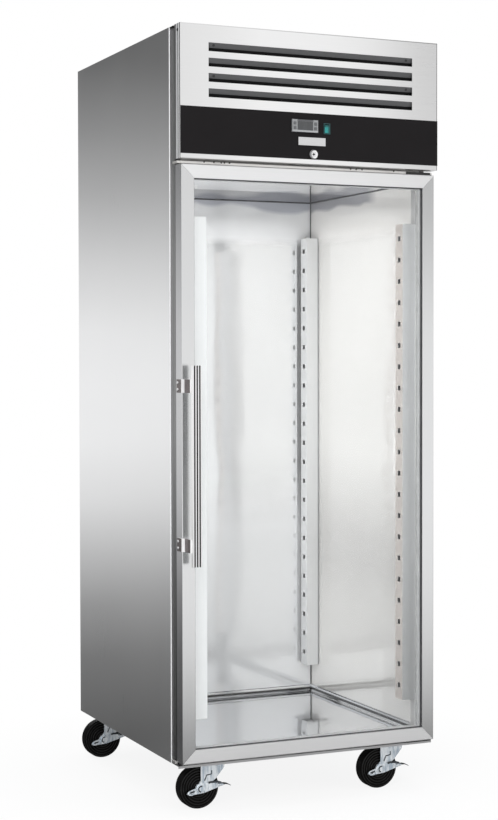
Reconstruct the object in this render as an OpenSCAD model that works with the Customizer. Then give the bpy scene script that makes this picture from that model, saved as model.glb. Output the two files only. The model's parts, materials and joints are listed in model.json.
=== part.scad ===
// Upright proofing cabinet on casters, with one glazed door and a lift-up control fascia.
// Millimetres. +X is the right-hand side seen from the front, -Y is the front, +Z is up.
// The origin lies on the floor, under the middle of the whole cabinet.

/* [Cabinet] */
// Overall width across the two side panels
cabinet_w = 740; // [640:1:820]
// Overall height from the floor to the top cover
cabinet_h = 2010; // [1900:1:2150]
// Depth of the side panels, front edge to back panel
shell_d = 732; // [640:1:800]
// Thickness of each side wall, outer skin to liner
wall_t = 24; // [20:1:34]
// Thickness of the back wall, outer skin to liner
back_t = 86; // [60:1:110]
// Thickness of the floor, base pan to liner
floor_t = 20; // [18:1:30]
// Thickness of the insulated ceiling under the machine compartment
roof_t = 43; // [36:1:60]
// Thickness of the stainless sheet of skins and liners
sheet_t = 1; // [0.8:0.1:1.5]
// Radius of the coved edge around the chamber floor
cove_r = 18; // [10:1:26]
// How far the top cover reaches out over the front frame
cover_lip = 10; // [6:0.5:11]
// How far the base pan reaches out under the door
base_lip = 30; // [20:1:32]
// Height of the fold down along the base pan's front edge
base_hem = 5; // [3:0.5:8]

/* [Front frame] */
// How far the front frame stands out in front of the side panels
frame_proud = 18; // [12:1:26]
// Depth of the front frame's bars
frame_d = 42; // [36:1:55]
// Step from the side panel's face in to the front frame
frame_inset = 8; // [6:1:12]
// Height of the rail at the top of the front frame
top_rail_h = 24; // [16:1:32]
// Thickness of the ledge between fascia and door
ledge_t = 6; // [4:1:7]
// How far the ledge reaches out in front of the frame
ledge_d = 30; // [24:1:32]
// Height from the door's top edge up to the underside of the ledge
ledge_gap = 3; // [3:0.5:4]

/* [Door] */
// Thickness of the door frame
door_t = 40; // [36:1:46]
// Face width of the door's stiles and rails
door_face_w = 35; // [32:1:45]
// Wall of the hollow door bars
door_wall = 2; // [1.5:0.1:3]
// Step from the side panel's face in to the door's edge
door_side_gap = 5; // [4:0.5:6]
// Gap between the door's top edge and the fascia
door_top_gap = 13; // [12:0.5:16]
// Height of the door's bottom edge above the base pan
door_bottom_gap = 8; // [8:0.5:12]
// Space for the seal between door and front frame
seal_gap = 10; // [9:0.5:13]
// Width of the magnetic door seal
seal_w = 14; // [11:1:16]
// How far the door seal laps onto the front frame
seal_lap = 6; // [4:1:6]
// Clearance between the closed door seal and the front frame
seal_clearance = 0.3; // [0.2:0.05:0.5]
// Thickness of each pane of glass
pane_t = 4; // [3:0.5:5]
// Air space between the two panes
pane_space = 10; // [8:1:12]
// Depth of the bars' glazing groove
groove_depth = 12; // [11:0.5:14]
// How far the glass reaches into the groove
pane_lap = 8; // [6:0.5:9]
// Front lip of the door bars, before the glazing groove
groove_lip = 7; // [6:0.5:8]
// Rubber each side of a pane
glazing_t = 2.5; // [2:0.1:3]
// Width of the glazing rubber that shows around the glass
glazing_show = 3; // [2:0.5:4]

/* [Handle] */
// How far the handle's front stands in front of the door
handle_reach = 50; // [42:1:60]
// Length of the handle bar
bar_l = 506; // [440:1:600]
// Width of the handle bar
bar_w = 25; // [22:1:26]
// Depth of the handle bar
bar_d = 10; // [8:1:12]
// Height of the handle's middle above the door's middle
bar_rise = 0; // [-100:1:100]
// Distance between the two handle brackets
bracket_spacing = 402; // [300:1:420]
// Height of each handle bracket
bracket_h = 34; // [28:1:40]
// Thickness of the bracket's strap
bracket_t = 3; // [2:0.5:3]
// Step of the bracket's arm in from the door's edge
bracket_step = 9; // [7:0.5:9]
// Depth of each groove along the handle bar
bar_groove_d = 2.5; // [1.5:0.5:4]
// Width of each groove along the handle bar
bar_groove_w = 3; // [2:0.5:3.5]
// Grooves along the handle bar
bar_grooves = 3; // [2:1:3]
// Distance between the two screws of a bracket
bracket_screw_gap = 17; // [14:1:20]
// Radius of the bracket screws
bracket_screw_r = 2; // [1.5:0.1:2.2]

/* [Door hinges] */
// Distance from the door's hinge edge to the pivot
pivot_inset = 12; // [11.5:0.5:13]
// Radius of the hinge pins
hinge_pin_r = 5; // [4:0.5:5.5]
// Length of pin inside the door
hinge_pin_l = 12; // [8:1:14]
// Thickness of the hinge plates
hinge_plate_t = 2.5; // [2:0.5:2.5]
// Length of the hinge plates
hinge_plate_l = 72; // [50:1:90]
// Outer radius of the hinge bushes
bush_r = 8; // [7:0.5:9]
// Running clearance of pins and shafts
run_gap = 0.05; // [0.02:0.01:0.1]

/* [Fascia] */
// Height of the fascia panel
fascia_h = 338; // [320:1:380]
// How far the fascia stands in front of the door
fascia_proud = 8; // [4:1:12]
// Depth of the fascia's folded sides
fascia_d = 40; // [36:1:44]
// Thickness of the fascia's sheet
fascia_t = 1.5; // [1.2:0.1:1.8]
// Return fold at the back of the fascia's sides
fascia_hem = 4; // [3:0.5:5]
// Height of the fascia's pivot below the top
fascia_pivot_drop = 16; // [14:0.5:18]
// Radius of the fascia's pivot pins
fascia_pin_r = 4; // [3:0.5:5]
// Height of the black control band
band_h = 119; // [105:1:130]
// Height of the control band above the fascia's bottom edge
band_lift = 12; // [8:1:16]
// Thickness of the control band
band_t = 1; // [0.8:0.1:1.5]

/* [Louvres] */
// Louvre slots in the fascia
louvre_count = 4; // [2:1:4]
// Distance of the louvre slots' ends from the fascia's sides
louvre_side = 77; // [60:1:150]
// Height of each louvre slot
louvre_h = 22; // [18:1:24]
// Distance between louvre slots
louvre_pitch = 38.4; // [36:0.1:42]
// Distance from the fascia's top edge to the first slot
louvre_top = 45; // [40:1:50]
// Depth of a louvre blade behind the fascia
blade_d = 7; // [5:0.5:9]
// Drop of a louvre blade below the slot's top edge
blade_drop = 12; // [9:0.5:14]
// Thickness of a louvre blade
blade_t = 1.2; // [1:0.1:1.5]
// Height of the blade's fixing flange above the slot
blade_flange = 9; // [6:0.5:11]

/* [Controls] */
// Width of the controller's bezel
controller_w = 74; // [68:1:84]
// Height of the controller's bezel
controller_h = 32; // [29:1:36]
// Place of the controller's middle from the fascia's middle
controller_x = -25; // [-40:1:-20]
// Height of the controller's middle above the control band's bottom
controller_z = 85; // [80:1:92]
// Thickness of the controller's bezel
bezel_t = 5; // [4:0.5:6]
// Depth of the controller behind the band
controller_d = 30; // [24:1:34]
// Border of the bezel round the panel cut-out
bezel_lap = 3; // [2:0.5:4]
// Width of the controller's window
window_w = 44; // [36:1:46]
// Height of the controller's window
window_h = 22; // [16:1:23]
// Thickness of the controller's window
window_t = 1.5; // [1:0.1:2]
// Size of each push-button
button_size = 7; // [5:0.5:8]
// Travel of each push-button
button_travel = 0.8; // [0.5:0.1:1]
// How far a push-button stands out of the bezel
button_proud = 1.2; // [1:0.1:1.6]
// Length of a push-button
button_l = 4; // [3:0.1:4.5]
// Distance between the two buttons of a pair
button_pitch = 12; // [10:0.5:14]
// Gap round the push-buttons
button_gap = 0.2; // [0.15:0.05:0.3]
// Width of the rocker switch's bezel
rocker_w = 19; // [17:1:22]
// Height of the rocker switch's bezel
rocker_h = 28; // [25:1:31]
// Place of the rocker switch from the fascia's middle
rocker_x = 39; // [36:1:48]
// Height of the rocker switch above the control band's bottom
rocker_z = 81; // [76:1:88]
// Border of the rocker switch's bezel
rocker_border = 2.5; // [2:0.1:3]
// Thickness of the rocker switch's bezel
rocker_bezel_t = 2; // [1.5:0.1:2.5]
// Depth of the rocker switch behind the band
rocker_d = 20; // [16:1:26]
// Tilt of the rocker each side of level
rocker_tilt = 8; // [5:0.5:9]
// Gap round the rocker
rocker_gap = 0.4; // [0.3:0.05:0.6]
// Radius of the rocker's pivot pins
rocker_pin_r = 1.2; // [1:0.1:1.5]
// Width of the bare plate on the control band
plate_w = 78; // [60:1:90]
// Height of the bare plate on the control band
plate_h = 21; // [16:1:24]
// Thickness of the bare plate
plate_t = 1.2; // [0.8:0.1:2]
// Place of the bare plate from the fascia's middle
plate_x = -4; // [-8:1:4]
// Height of the bare plate's middle above the band's bottom
plate_z = 46; // [43:1:50]

/* [Lock] */
// Radius of the lock's round escutcheon
lock_flange_r = 12; // [11:0.5:13]
// Radius of the lock barrel
lock_barrel_r = 9; // [8:0.5:10]
// Radius of the lock's turning plug
lock_plug_r = 6; // [5:0.5:7]
// Thickness of the escutcheon
lock_flange_t = 3; // [2:0.5:4]
// Length of the lock barrel behind the fascia
lock_barrel_l = 16; // [14:0.5:17]
// Height of the lock's middle above the band's bottom
lock_z = 13; // [13:0.5:16]
// Reach of the lock's cam from the lock's middle
cam_reach = 51; // [49:0.5:53]
// Width of the lock's cam
cam_w = 14; // [10:1:16]
// Thickness of the lock's cam
cam_t = 3; // [2:0.5:4]
// Clearance of the cam in its slots
cam_gap = 2; // [1.5:0.5:3]
// Width of the key slot
key_slot_w = 1.6; // [1.2:0.1:2]
// Length of the key slot
key_slot_l = 8; // [6:0.5:9]

/* [Shelf uprights] */
// Distance of the uprights' top end below the chamber ceiling
upright_drop = 111; // [60:1:160]
// Height of the uprights' bottom end above the chamber floor
upright_lift = 87; // [60:1:110]
// How far the right uprights stand out from the side wall
upright_w = 40; // [30:1:50]
// How far the left uprights stand out from the side wall
left_upright_w = 76; // [30:1:80]
// Front-to-back size of an upright
upright_d = 40; // [30:1:50]
// Thickness of an upright's sheet
upright_t = 1.5; // [1.2:0.1:2]
// Distance of the front uprights behind the front frame's face
upright_front = 16; // [12:1:60]
// Gap between the rear uprights and the back wall
upright_rear = 14; // [8:1:60]
// Distance between an upright's slots
slot_pitch = 58; // [40:1:80]
// Height of an upright's slot
slot_h = 13; // [8:1:18]
// Width of an upright's slot
slot_w = 15; // [10:1:20]

/* [Air system] */
// Radius of the fan inlet in the ceiling
inlet_r = 72; // [55:1:76]
// Distance of the fan from the chamber's left wall
fan_side = 96; // [92:1:110]
// Distance of the fan behind the front frame's face
fan_back = 340; // [300:1:360]
// Distance of the air outlet slot's ends from the chamber's side walls
outlet_side = 106; // [70:1:190]
// Front-to-back size of the air outlet slot
outlet_d = 40; // [25:1:45]
// Distance of the outlet slot behind the front frame's bars
outlet_back = 10; // [8:1:16]
// Height of the air plenum on the ceiling
plenum_h = 120; // [110:1:140]
// Depth of the air plenum
plenum_d = 380; // [370:1:400]
// Radius of the fan impeller
impeller_r = 66; // [50:1:70]
// Height of the fan impeller
impeller_h = 50; // [40:1:56]
// Blades of the fan impeller
impeller_blades = 12; // [8:1:16]
// Height of the impeller above the ceiling's insulation
impeller_lift = 12; // [8:1:16]
// Radius of the fan motor
motor_r = 48; // [40:1:55]
// Height of the fan motor
motor_h = 78; // [60:1:95]
// Radius of the fan shaft
shaft_r = 4; // [3:0.5:5]
// Radius of the wires of the fan guard
guard_wire_r = 1.5; // [1:0.1:2]
// Radius of the heater's tube
heater_r = 4.5; // [3.5:0.5:6]
// Length of the heater's loop
heater_l = 420; // [300:1:520]
// Distance between the two legs of the heater's loop
heater_gap = 60; // [40:1:80]
// Radius of the humidifier's water tank
tank_r = 60; // [45:1:62]
// Height of the humidifier's water tank
tank_h = 180; // [140:1:200]
// Radius of the steam pipe
steam_r = 9; // [7:0.5:12]
// Width of the electrical box
box_w = 230; // [160:1:260]
// Depth of the electrical box
box_d = 130; // [90:1:140]
// Height of the electrical box
box_h = 105; // [80:1:140]
// Outer radius of the cable gland
gland_r = 14; // [11:1:18]
// Radius of the cable gland's bore
gland_bore_r = 5; // [4:0.5:7]

/* [Casters] */
// Height of the casters, floor to mounting plate
caster_h = 130; // [126:1:150]
// Diameter of the wheels
wheel_d = 110; // [90:1:110]
// Width of the wheels
wheel_w = 32; // [26:1:36]
// Offset of the wheel from the swivel axis
trail = 24; // [20:1:38]
// Distance from a side panel's face to the front swivel axis on that side
caster_side_front = 106; // [80:1:140]
// Distance from a side panel's face to the rear swivel axis on that side
caster_side_rear = 70; // [60:1:140]
// Distance from the front frame's face to the front swivel axes
caster_front = 45; // [44:1:48]
// Distance from the back panel to the rear swivel axes
caster_rear = 50; // [46:1:100]
// Length of a caster's mounting plate, across the cabinet
caster_plate_l = 96; // [86:1:110]
// Width of a caster's mounting plate, front to back
caster_plate_w = 82; // [74:1:90]
// Thickness of a caster's mounting plate
caster_plate_t = 3; // [2.5:0.5:4]
// Radius of the swivel race
race_r = 27; // [24:1:29]
// Radius of the caster's king pin
king_pin_r = 5; // [4:0.5:6]
// Radius of the wheel axle
axle_r = 6; // [5:0.5:7]
// Thickness of a fork's legs
fork_t = 3; // [2.5:0.5:4]
// Thickness of the brake lever's sheet
brake_t = 2.5; // [2:0.5:3]
// Radius of the caster bolts
caster_bolt_r = 4; // [3:0.5:5]

/* [Hidden] */

$fn = 48;
// Overlap of cutting tools past the faces they cut
cut = 1;
// Gap that keeps touching fasteners separate from what they hold
seat_gap = 0.05;

// Places from side to side
half_w = cabinet_w / 2;
chamber_x = half_w - wall_t;
frame_x = half_w - frame_inset;
door_x = half_w - door_side_gap;

// Places from front to back
total_d = shell_d + frame_proud + seal_gap + door_t + handle_reach;
back_y = total_d / 2;
shell_front_y = back_y - shell_d;
frame_y = shell_front_y - frame_proud;
frame_back_y = frame_y + frame_d;
door_back_y = frame_y - seal_gap;
door_y = door_back_y - door_t;
fascia_y = door_y - fascia_proud;
band_y = fascia_y - band_t;
handle_y = door_y - handle_reach;
chamber_back_y = back_y - back_t;

// Heights
base_z = caster_h;
top_z = cabinet_h;
fascia_z = top_z - fascia_h;
door_top_z = fascia_z - door_top_gap;
door_z = base_z + door_bottom_gap;
floor_z = base_z + floor_t;
ledge_z = door_top_z + ledge_gap;
// The ceiling lies this far under the door's top edge, so that the door seal laps onto the header
ceiling_z = door_top_z - 2 * seal_lap - ledge_gap;
roof_z = ceiling_z + roof_t;
upright_l = ceiling_z - floor_z - upright_lift - upright_drop;
band_z = fascia_z + band_lift;

// Door glazing
groove_y = door_y + groove_lip;
groove_w = 2 * pane_t + pane_space + 2 * glazing_t;
outer_pane_y = groove_y + glazing_t;
inner_pane_y = outer_pane_y + pane_t + pane_space;
open_x = door_x - door_face_w;
open_z0 = door_z + door_face_w;
open_z1 = door_top_z - door_face_w;

// Door hinge
hinge_x = door_x - pivot_inset;
hinge_y = door_y + door_t / 2;
// The hinge plates reach this far past the pivot
hinge_nose = 10;
lower_plate_top = door_z - (door_bottom_gap - hinge_plate_t) / 2;
// Clearance between the lower hinge plate's leg and the door seal
leg_clearance = 1;
hinge_leg_h = floor_z - seal_lap - lower_plate_top - leg_clearance;
// A bush reaches this far past the end of its pin
bush_end = 2;
bush_l = hinge_pin_l + bush_end;

// Fascia pivot
fascia_pivot_y = fascia_y + fascia_d / 2;
fascia_pivot_z = top_z - fascia_pivot_drop;
pivot_arm_t = 8;
pivot_arm_h = 16;
// Clearance between a pivot arm and the fascia's return fold
pivot_side_gap = 2;
// The fascia's top fold ends this far from each side, clear of the pivot arms
fascia_top_notch = 30;

// Handle
bar_z = (door_z + door_top_z) / 2 + bar_rise;
bracket_zs = [bar_z - bracket_spacing / 2, bar_z + bracket_spacing / 2];
bracket_y = handle_y + bar_d;
bar_x = -door_x + bracket_step;
// The bracket's side plate ends this far before the door's back
bracket_short = 8;
bracket_side_d = door_t - bracket_short;
// The bracket's fold ends this far before the handle bar's edge
fold_short = 2;
screw_head_r = 2 * bracket_screw_r;
screw_head_t = door_side_gap - bracket_t;
screw_l = 16;

// Controls
controller_cz = band_z + controller_z;
controller_x0 = controller_x - controller_w / 2;
controller_x1 = controller_x + controller_w / 2;
controller_z0 = controller_cz - controller_h / 2;
controller_z1 = controller_cz + controller_h / 2;
bezel_y = band_y - bezel_t;
button_column = (controller_w + window_w) / 4;
button_pocket = button_l - button_proud + button_travel + button_gap;
rocker_cz = band_z + rocker_z;
rocker_x0 = rocker_x - rocker_w / 2;
rocker_x1 = rocker_x + rocker_w / 2;
rocker_z0 = rocker_cz - rocker_h / 2;
rocker_z1 = rocker_cz + rocker_h / 2;
rocker_inset = rocker_border / 2;
// Depth of the rocker's pivot behind the band's face
rocker_axis_d = 3;
rocker_axis_y = band_y + rocker_axis_d;
lock_cz = band_z + lock_z;
cam_y = fascia_y + lock_barrel_l + seat_gap;
cam_slot_d = cam_t + 2 * cam_gap;

// Louvres
louvre_l = cabinet_w - 2 * louvre_side;

// Casters
front_caster = [half_w - caster_side_front, frame_y + caster_front];
rear_caster = [half_w - caster_side_rear, back_y - caster_rear];
caster_places = [for (side = [-1, 1], at = [front_caster, rear_caster]) [side * at.x, at.y]];
wheel_r = wheel_d / 2;
// Space between a wheel's face and a fork's leg
leg_gap = 4;
leg_in = wheel_w / 2 + leg_gap;
leg_out = leg_in + fork_t;
plate_under_z = caster_h - caster_plate_t;
race_h = 7;
race_z = plate_under_z - race_h;
crown_t = 3;
// Space between the wheel's top and the fork's crown
crown_gap = 3;
crown_z = wheel_d + crown_gap;
swivel_gap = 0.3;
fork_front = 44;
// The fork's legs start this far in front of the axle
fork_short = 2;
fork_rear = trail - fork_short;
boss_r = 2.2 * axle_r;
// Distance of the caster bolts from the plate's edges
bolt_edge = 10;
bolt_x = caster_plate_l / 2 - bolt_edge;
bolt_y = caster_plate_w / 2 - bolt_edge;
bolt_rise = 12;
bolt_head_t = 4;
bolt_head_r = 1.7 * caster_bolt_r;

// Air system
fan_x = -chamber_x + fan_side;
fan_y = frame_y + fan_back;
outlet_w = 2 * (chamber_x - outlet_side);
outlet_y = frame_back_y + outlet_back;
plenum_y = frame_back_y;
// The plenum stays this far inside the chamber's width
plenum_inset = 4;
plenum_x = chamber_x - plenum_inset;
plenum_top = roof_z + plenum_h;
impeller_z = roof_z + impeller_lift;
// The heater lies this far behind the outlet slot
heater_back = 30;
heater_y = outlet_y + outlet_d + heater_back;
heater_z = roof_z + plenum_h / 2;
rear_bay_y = plenum_y + plenum_d;
// Space round the water tank and the electrical box
tank_side = 60;
tank_front = 40;
box_side = 40;
box_rear = 30;
tank_x = chamber_x - tank_r - tank_side;
tank_y = rear_bay_y + tank_r + tank_front;
box_x = -chamber_x + box_side;
gland_x = box_x + box_w / 2;
gland_z = roof_z + box_h / 2;

// A block between two corners
module block(lo, hi) {
  translate(lo) cube(hi - lo);
}

// A rod along X from one point
module rod_x(from, length, r) {
  translate(from) rotate([0, 90, 0]) cylinder(r = r, h = length);
}

// A rod along Y from one point
module rod_y(from, length, r) {
  translate(from) rotate([-90, 0, 0]) cylinder(r = r, h = length);
}

// A rod along Z from one point
module rod_z(from, length, r) {
  translate(from) cylinder(r = r, h = length);
}

// Children on the right, and again mirrored on the left
module both_sides() {
  children();
  mirror([1, 0, 0]) children();
}

// The fan inlet and the outlet slot, cut through the ceiling between two heights
module ceiling_vents(z0, z1) {
  rod_z([fan_x, fan_y, z0 - cut], z1 - z0 + 2 * cut, inlet_r);
  block([-outlet_w / 2, outlet_y, z0 - cut], [outlet_w / 2, outlet_y + outlet_d, z1 + cut]);
}

// The bolt shanks of all casters, as tools of a given radius
module caster_bolt_shanks(r, z0, z1) {
  for (at = caster_places, sx = [-1, 1], sy = [-1, 1])
    rod_z([at.x + sx * bolt_x, at.y + sy * bolt_y, z0], z1 - z0, r);
}

// Outer skin of one side, with its fold at the front edge
module side_panel() {
  block([half_w - sheet_t, shell_front_y, base_z], [half_w, back_y, top_z]);
  block([frame_x, shell_front_y, base_z], [half_w, shell_front_y + sheet_t, top_z]);
}

module left_side_panel() {
  color([0.66, 0.67, 0.68]) mirror([1, 0, 0]) side_panel();
}

module right_side_panel() {
  color([0.66, 0.67, 0.68]) side_panel();
}

// Outer skin of the back, with vents for the machine compartment and a hole for the gland
module back_panel() {
  vent_w = 180;
  vent_h = 8;
  vent_pitch = 24;
  vent_count = 6;
  vent_drop = 100;
  inner_x = half_w - sheet_t;
  color([0.62, 0.63, 0.64]) difference() {
    block([-inner_x, back_y - sheet_t, base_z], [inner_x, back_y, top_z]);
    for (i = [0 : vent_count - 1], x = [-vent_w - vent_pitch / 2, vent_pitch / 2])
      translate([x, back_y - sheet_t - cut, top_z - vent_drop - i * vent_pitch])
        cube([vent_w, sheet_t + 2 * cut, vent_h]);
    rod_y([gland_x, back_y - sheet_t - cut, gland_z], sheet_t + 2 * cut, gland_r);
  }
}

module top_cover() {
  inner_x = half_w - sheet_t;
  color([0.7, 0.71, 0.72])
    block([-inner_x, frame_y - cover_lip, top_z - sheet_t], [inner_x, back_y - sheet_t, top_z]);
}

module base_pan() {
  inner_x = half_w - sheet_t;
  color([0.6, 0.61, 0.62]) difference() {
    union() {
      block([-inner_x, frame_y - base_lip, base_z], [inner_x, back_y - sheet_t, base_z + sheet_t]);
      block([-inner_x, frame_y - base_lip, base_z - base_hem],
            [inner_x, frame_y - base_lip + sheet_t, base_z + sheet_t]);
    }
    caster_bolt_shanks(caster_bolt_r + seat_gap, base_z - cut, base_z + sheet_t + cut);
  }
}

// Foam between skins and liners, open at the front, with the vents through its ceiling
module foam_insulation() {
  outer_x = half_w - sheet_t;
  inner_x = chamber_x + sheet_t;
  color([0.93, 0.86, 0.6]) difference() {
    block([-outer_x, frame_back_y, base_z + sheet_t], [outer_x, back_y - sheet_t, roof_z]);
    block([-inner_x, frame_back_y - cut, floor_z - sheet_t],
          [inner_x, chamber_back_y + sheet_t, ceiling_z + sheet_t]);
    ceiling_vents(ceiling_z, roof_z);
    caster_bolt_shanks(caster_bolt_r + seat_gap, base_z, base_z + bolt_rise + cut);
  }
}

// Inner skin of one side wall
module side_liner() {
  block([chamber_x, frame_back_y, floor_z], [chamber_x + sheet_t, chamber_back_y, ceiling_z]);
}

module left_liner() {
  color([0.85, 0.87, 0.9]) mirror([1, 0, 0]) side_liner();
}

module right_liner() {
  color([0.85, 0.87, 0.9]) side_liner();
}

module back_liner() {
  outer_x = chamber_x + sheet_t;
  color([0.85, 0.87, 0.9])
    block([-outer_x, chamber_back_y, floor_z], [outer_x, chamber_back_y + sheet_t, ceiling_z]);
}

module ceiling_liner() {
  outer_x = chamber_x + sheet_t;
  color([0.85, 0.87, 0.9]) difference() {
    block([-outer_x, frame_back_y, ceiling_z],
          [outer_x, chamber_back_y + sheet_t, ceiling_z + sheet_t]);
    ceiling_vents(ceiling_z, ceiling_z + sheet_t);
  }
}

// Concave strip of the floor's edge, in its own plane
module cove_profile() {
  difference() {
    square(cove_r);
    translate([cove_r, cove_r]) circle(r = cove_r);
  }
}

// Chamber floor with coved strips along its sides and back
module floor_liner() {
  outer_x = chamber_x + sheet_t;
  color([0.8, 0.82, 0.84]) {
    block([-outer_x, frame_back_y, floor_z - sheet_t],
          [outer_x, chamber_back_y + sheet_t, floor_z]);
    both_sides()
      translate([chamber_x, chamber_back_y, floor_z])
        rotate([90, 0, 0]) mirror([1, 0, 0])
          linear_extrude(chamber_back_y - frame_back_y) cove_profile();
    translate([-chamber_x, chamber_back_y, floor_z])
      rotate([90, 0, 90]) mirror([1, 0, 0])
        linear_extrude(2 * chamber_x) cove_profile();
  }
}

module frame_posts() {
  color([0.25, 0.26, 0.27]) both_sides()
    block([chamber_x, frame_y, base_z + sheet_t], [frame_x, frame_back_y, top_z - sheet_t]);
}

// Sill, header with its ledge, and top rail, between the posts
module frame_rails() {
  ledge_x = half_w - sheet_t;
  color([0.8, 0.8, 0.81]) {
    difference() {
      block([-chamber_x, frame_y, base_z + sheet_t], [chamber_x, frame_back_y, floor_z]);
      caster_bolt_shanks(caster_bolt_r + seat_gap, base_z, base_z + bolt_rise + cut);
    }
    block([-chamber_x, frame_y, ceiling_z], [chamber_x, frame_back_y, roof_z]);
    block([-ledge_x, frame_y - ledge_d, ledge_z], [ledge_x, frame_y, ledge_z + ledge_t]);
    block([-chamber_x, frame_y, top_z - sheet_t - top_rail_h],
          [chamber_x, frame_back_y, top_z - sheet_t]);
  }
}

// One channel-shaped upright on the right wall, with its row of slots
module upright(y, w) {
  web_x = chamber_x - w;
  z0 = floor_z + upright_lift;
  count = floor(upright_l / slot_pitch);
  first_z = z0 + (upright_l - (count - 1) * slot_pitch) / 2;
  difference() {
    block([web_x, y, z0], [chamber_x, y + upright_d, z0 + upright_l]);
    block([web_x + upright_t, y + upright_t, z0 - cut],
          [chamber_x + cut, y + upright_d - upright_t, z0 + upright_l + cut]);
    for (i = [0 : count - 1])
      translate([web_x + upright_t / 2, y + upright_d / 2, first_z + i * slot_pitch])
        cube([upright_t + 2 * cut, slot_w, slot_h], center = true);
  }
}

module slotted_uprights() {
  color([0.9, 0.9, 0.91])
    for (y = [frame_y + upright_front, chamber_back_y - upright_rear - upright_d]) {
      upright(y, upright_w);
      mirror([1, 0, 0]) upright(y, left_upright_w);
    }
}

// Hood over the fan inlet and the outlet slot, open below
module air_plenum() {
  color([0.7, 0.71, 0.72]) difference() {
    block([-plenum_x, plenum_y, roof_z], [plenum_x, rear_bay_y, plenum_top]);
    block([-plenum_x + sheet_t, plenum_y + sheet_t, roof_z - cut],
          [plenum_x - sheet_t, rear_bay_y - sheet_t, plenum_top - sheet_t]);
    rod_z([fan_x, fan_y, plenum_top - sheet_t - cut], sheet_t + 2 * cut, 2 * shaft_r);
    for (y = [heater_y, heater_y + heater_gap])
      rod_x([plenum_x - sheet_t - cut, y, heater_z], sheet_t + 2 * cut, heater_r + seat_gap);
  }
}

// Fan motor on the plenum, with its shaft hanging down into the impeller
module fan_motor() {
  foot_lap = 10;
  foot_r = motor_r + foot_lap;
  foot_t = 4;
  color([0.3, 0.31, 0.33]) {
    rod_z([fan_x, fan_y, plenum_top], foot_t, foot_r);
    rod_z([fan_x, fan_y, plenum_top], motor_h, motor_r);
    rod_z([fan_x, fan_y, impeller_z], plenum_top - impeller_z, shaft_r);
  }
}

// Radial impeller with a back plate, blades and an eye ring
module fan_impeller() {
  plate_t = 2;
  blade_t = 1.5;
  ring_w = 12;
  hub_r = 3 * shaft_r;
  color([0.75, 0.76, 0.78]) translate([fan_x, fan_y, impeller_z]) difference() {
    union() {
      translate([0, 0, impeller_h - plate_t]) cylinder(r = impeller_r, h = plate_t);
      translate([0, 0, impeller_h / 3]) cylinder(r = hub_r, h = impeller_h * 2 / 3);
      for (i = [0 : impeller_blades - 1])
        rotate([0, 0, i * 360 / impeller_blades])
          translate([impeller_r - 2 * ring_w, -blade_t / 2, 0])
            cube([2 * ring_w - blade_t, blade_t, impeller_h - plate_t / 2]);
      difference() {
        cylinder(r = impeller_r, h = plate_t);
        translate([0, 0, -cut]) cylinder(r = impeller_r - ring_w, h = plate_t + 2 * cut);
      }
    }
    translate([0, 0, -cut]) cylinder(r = shaft_r + run_gap, h = impeller_h + 2 * cut);
  }
}

// Wire guard under the fan inlet: rings, crossed bars and four pads on the ceiling
module fan_guard() {
  rings = 4;
  pad = 10;
  reach = inlet_r + pad;
  wire_z = ceiling_z - 3 * guard_wire_r;
  color([0.8, 0.8, 0.82]) translate([fan_x, fan_y, 0]) {
    for (i = [1 : rings])
      translate([0, 0, wire_z]) rotate_extrude()
        translate([i * inlet_r / rings, 0]) circle(r = guard_wire_r, $fn = 16);
    for (a = [0, 90])
      rotate([0, 0, a]) {
        rod_x([-reach, 0, wire_z], 2 * reach, guard_wire_r);
        for (s = [-1, 1])
          translate([s * reach, 0, (wire_z + ceiling_z) / 2])
            cube([pad, pad, ceiling_z - wire_z], center = true);
      }
  }
}

// Looped tubular heater, fixed by its flange to the plenum's right-hand wall
module heater_element() {
  flange_t = 4;
  terminal = 24;
  end_x = plenum_x;
  bend_x = end_x - heater_l;
  color([0.45, 0.42, 0.4]) {
    for (y = [heater_y, heater_y + heater_gap])
      rod_x([bend_x, y, heater_z], heater_l + terminal, heater_r);
    translate([bend_x, heater_y + heater_gap / 2, heater_z]) rotate([0, 0, 90])
      rotate_extrude(angle = 180) translate([heater_gap / 2, 0]) circle(r = heater_r);
    block([end_x, heater_y - 3 * heater_r, heater_z - 3 * heater_r],
          [end_x + flange_t - seat_gap, heater_y + heater_gap + 3 * heater_r, heater_z + 3 * heater_r]);
  }
}

// Water tank with its lid and the steam pipe into the plenum
module humidifier_tank() {
  lid_t = 8;
  lid_lap = 3;
  pipe_rise = 24;
  pipe_z = heater_z + pipe_rise;
  color([0.82, 0.83, 0.84]) {
    rod_z([tank_x, tank_y, roof_z], tank_h, tank_r);
    rod_z([tank_x, tank_y, roof_z + tank_h - lid_t], lid_t, tank_r + lid_lap);
    rod_y([tank_x, rear_bay_y, pipe_z], tank_y - rear_bay_y, steam_r);
  }
}

// Closed electrical box behind the plenum, with a proud lid
module electrical_box() {
  lid_t = 6;
  lid_lap = 3;
  y0 = back_y - sheet_t - box_rear - box_d;
  color([0.55, 0.56, 0.57]) {
    block([box_x, y0, roof_z], [box_x + box_w, y0 + box_d, roof_z + box_h]);
    block([box_x - lid_lap, y0 - lid_lap, roof_z + box_h - lid_t],
          [box_x + box_w + lid_lap, y0 + box_d + lid_lap, roof_z + box_h]);
  }
}

// Gland in the back panel, for the supply cable
module cable_gland() {
  nut_t = 8;
  nut_lap = 5;
  nut_r = gland_r + nut_lap;
  color([0.1, 0.1, 0.1]) difference() {
    union() {
      rod_y([gland_x, back_y - sheet_t - nut_t, gland_z], nut_t - seat_gap, nut_r);
      rod_y([gland_x, back_y - sheet_t - nut_t, gland_z], nut_t + sheet_t, gland_r - seat_gap);
    }
    rod_y([gland_x, back_y - sheet_t - nut_t - cut, gland_z], nut_t + sheet_t + 2 * cut, gland_bore_r);
  }
}

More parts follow.
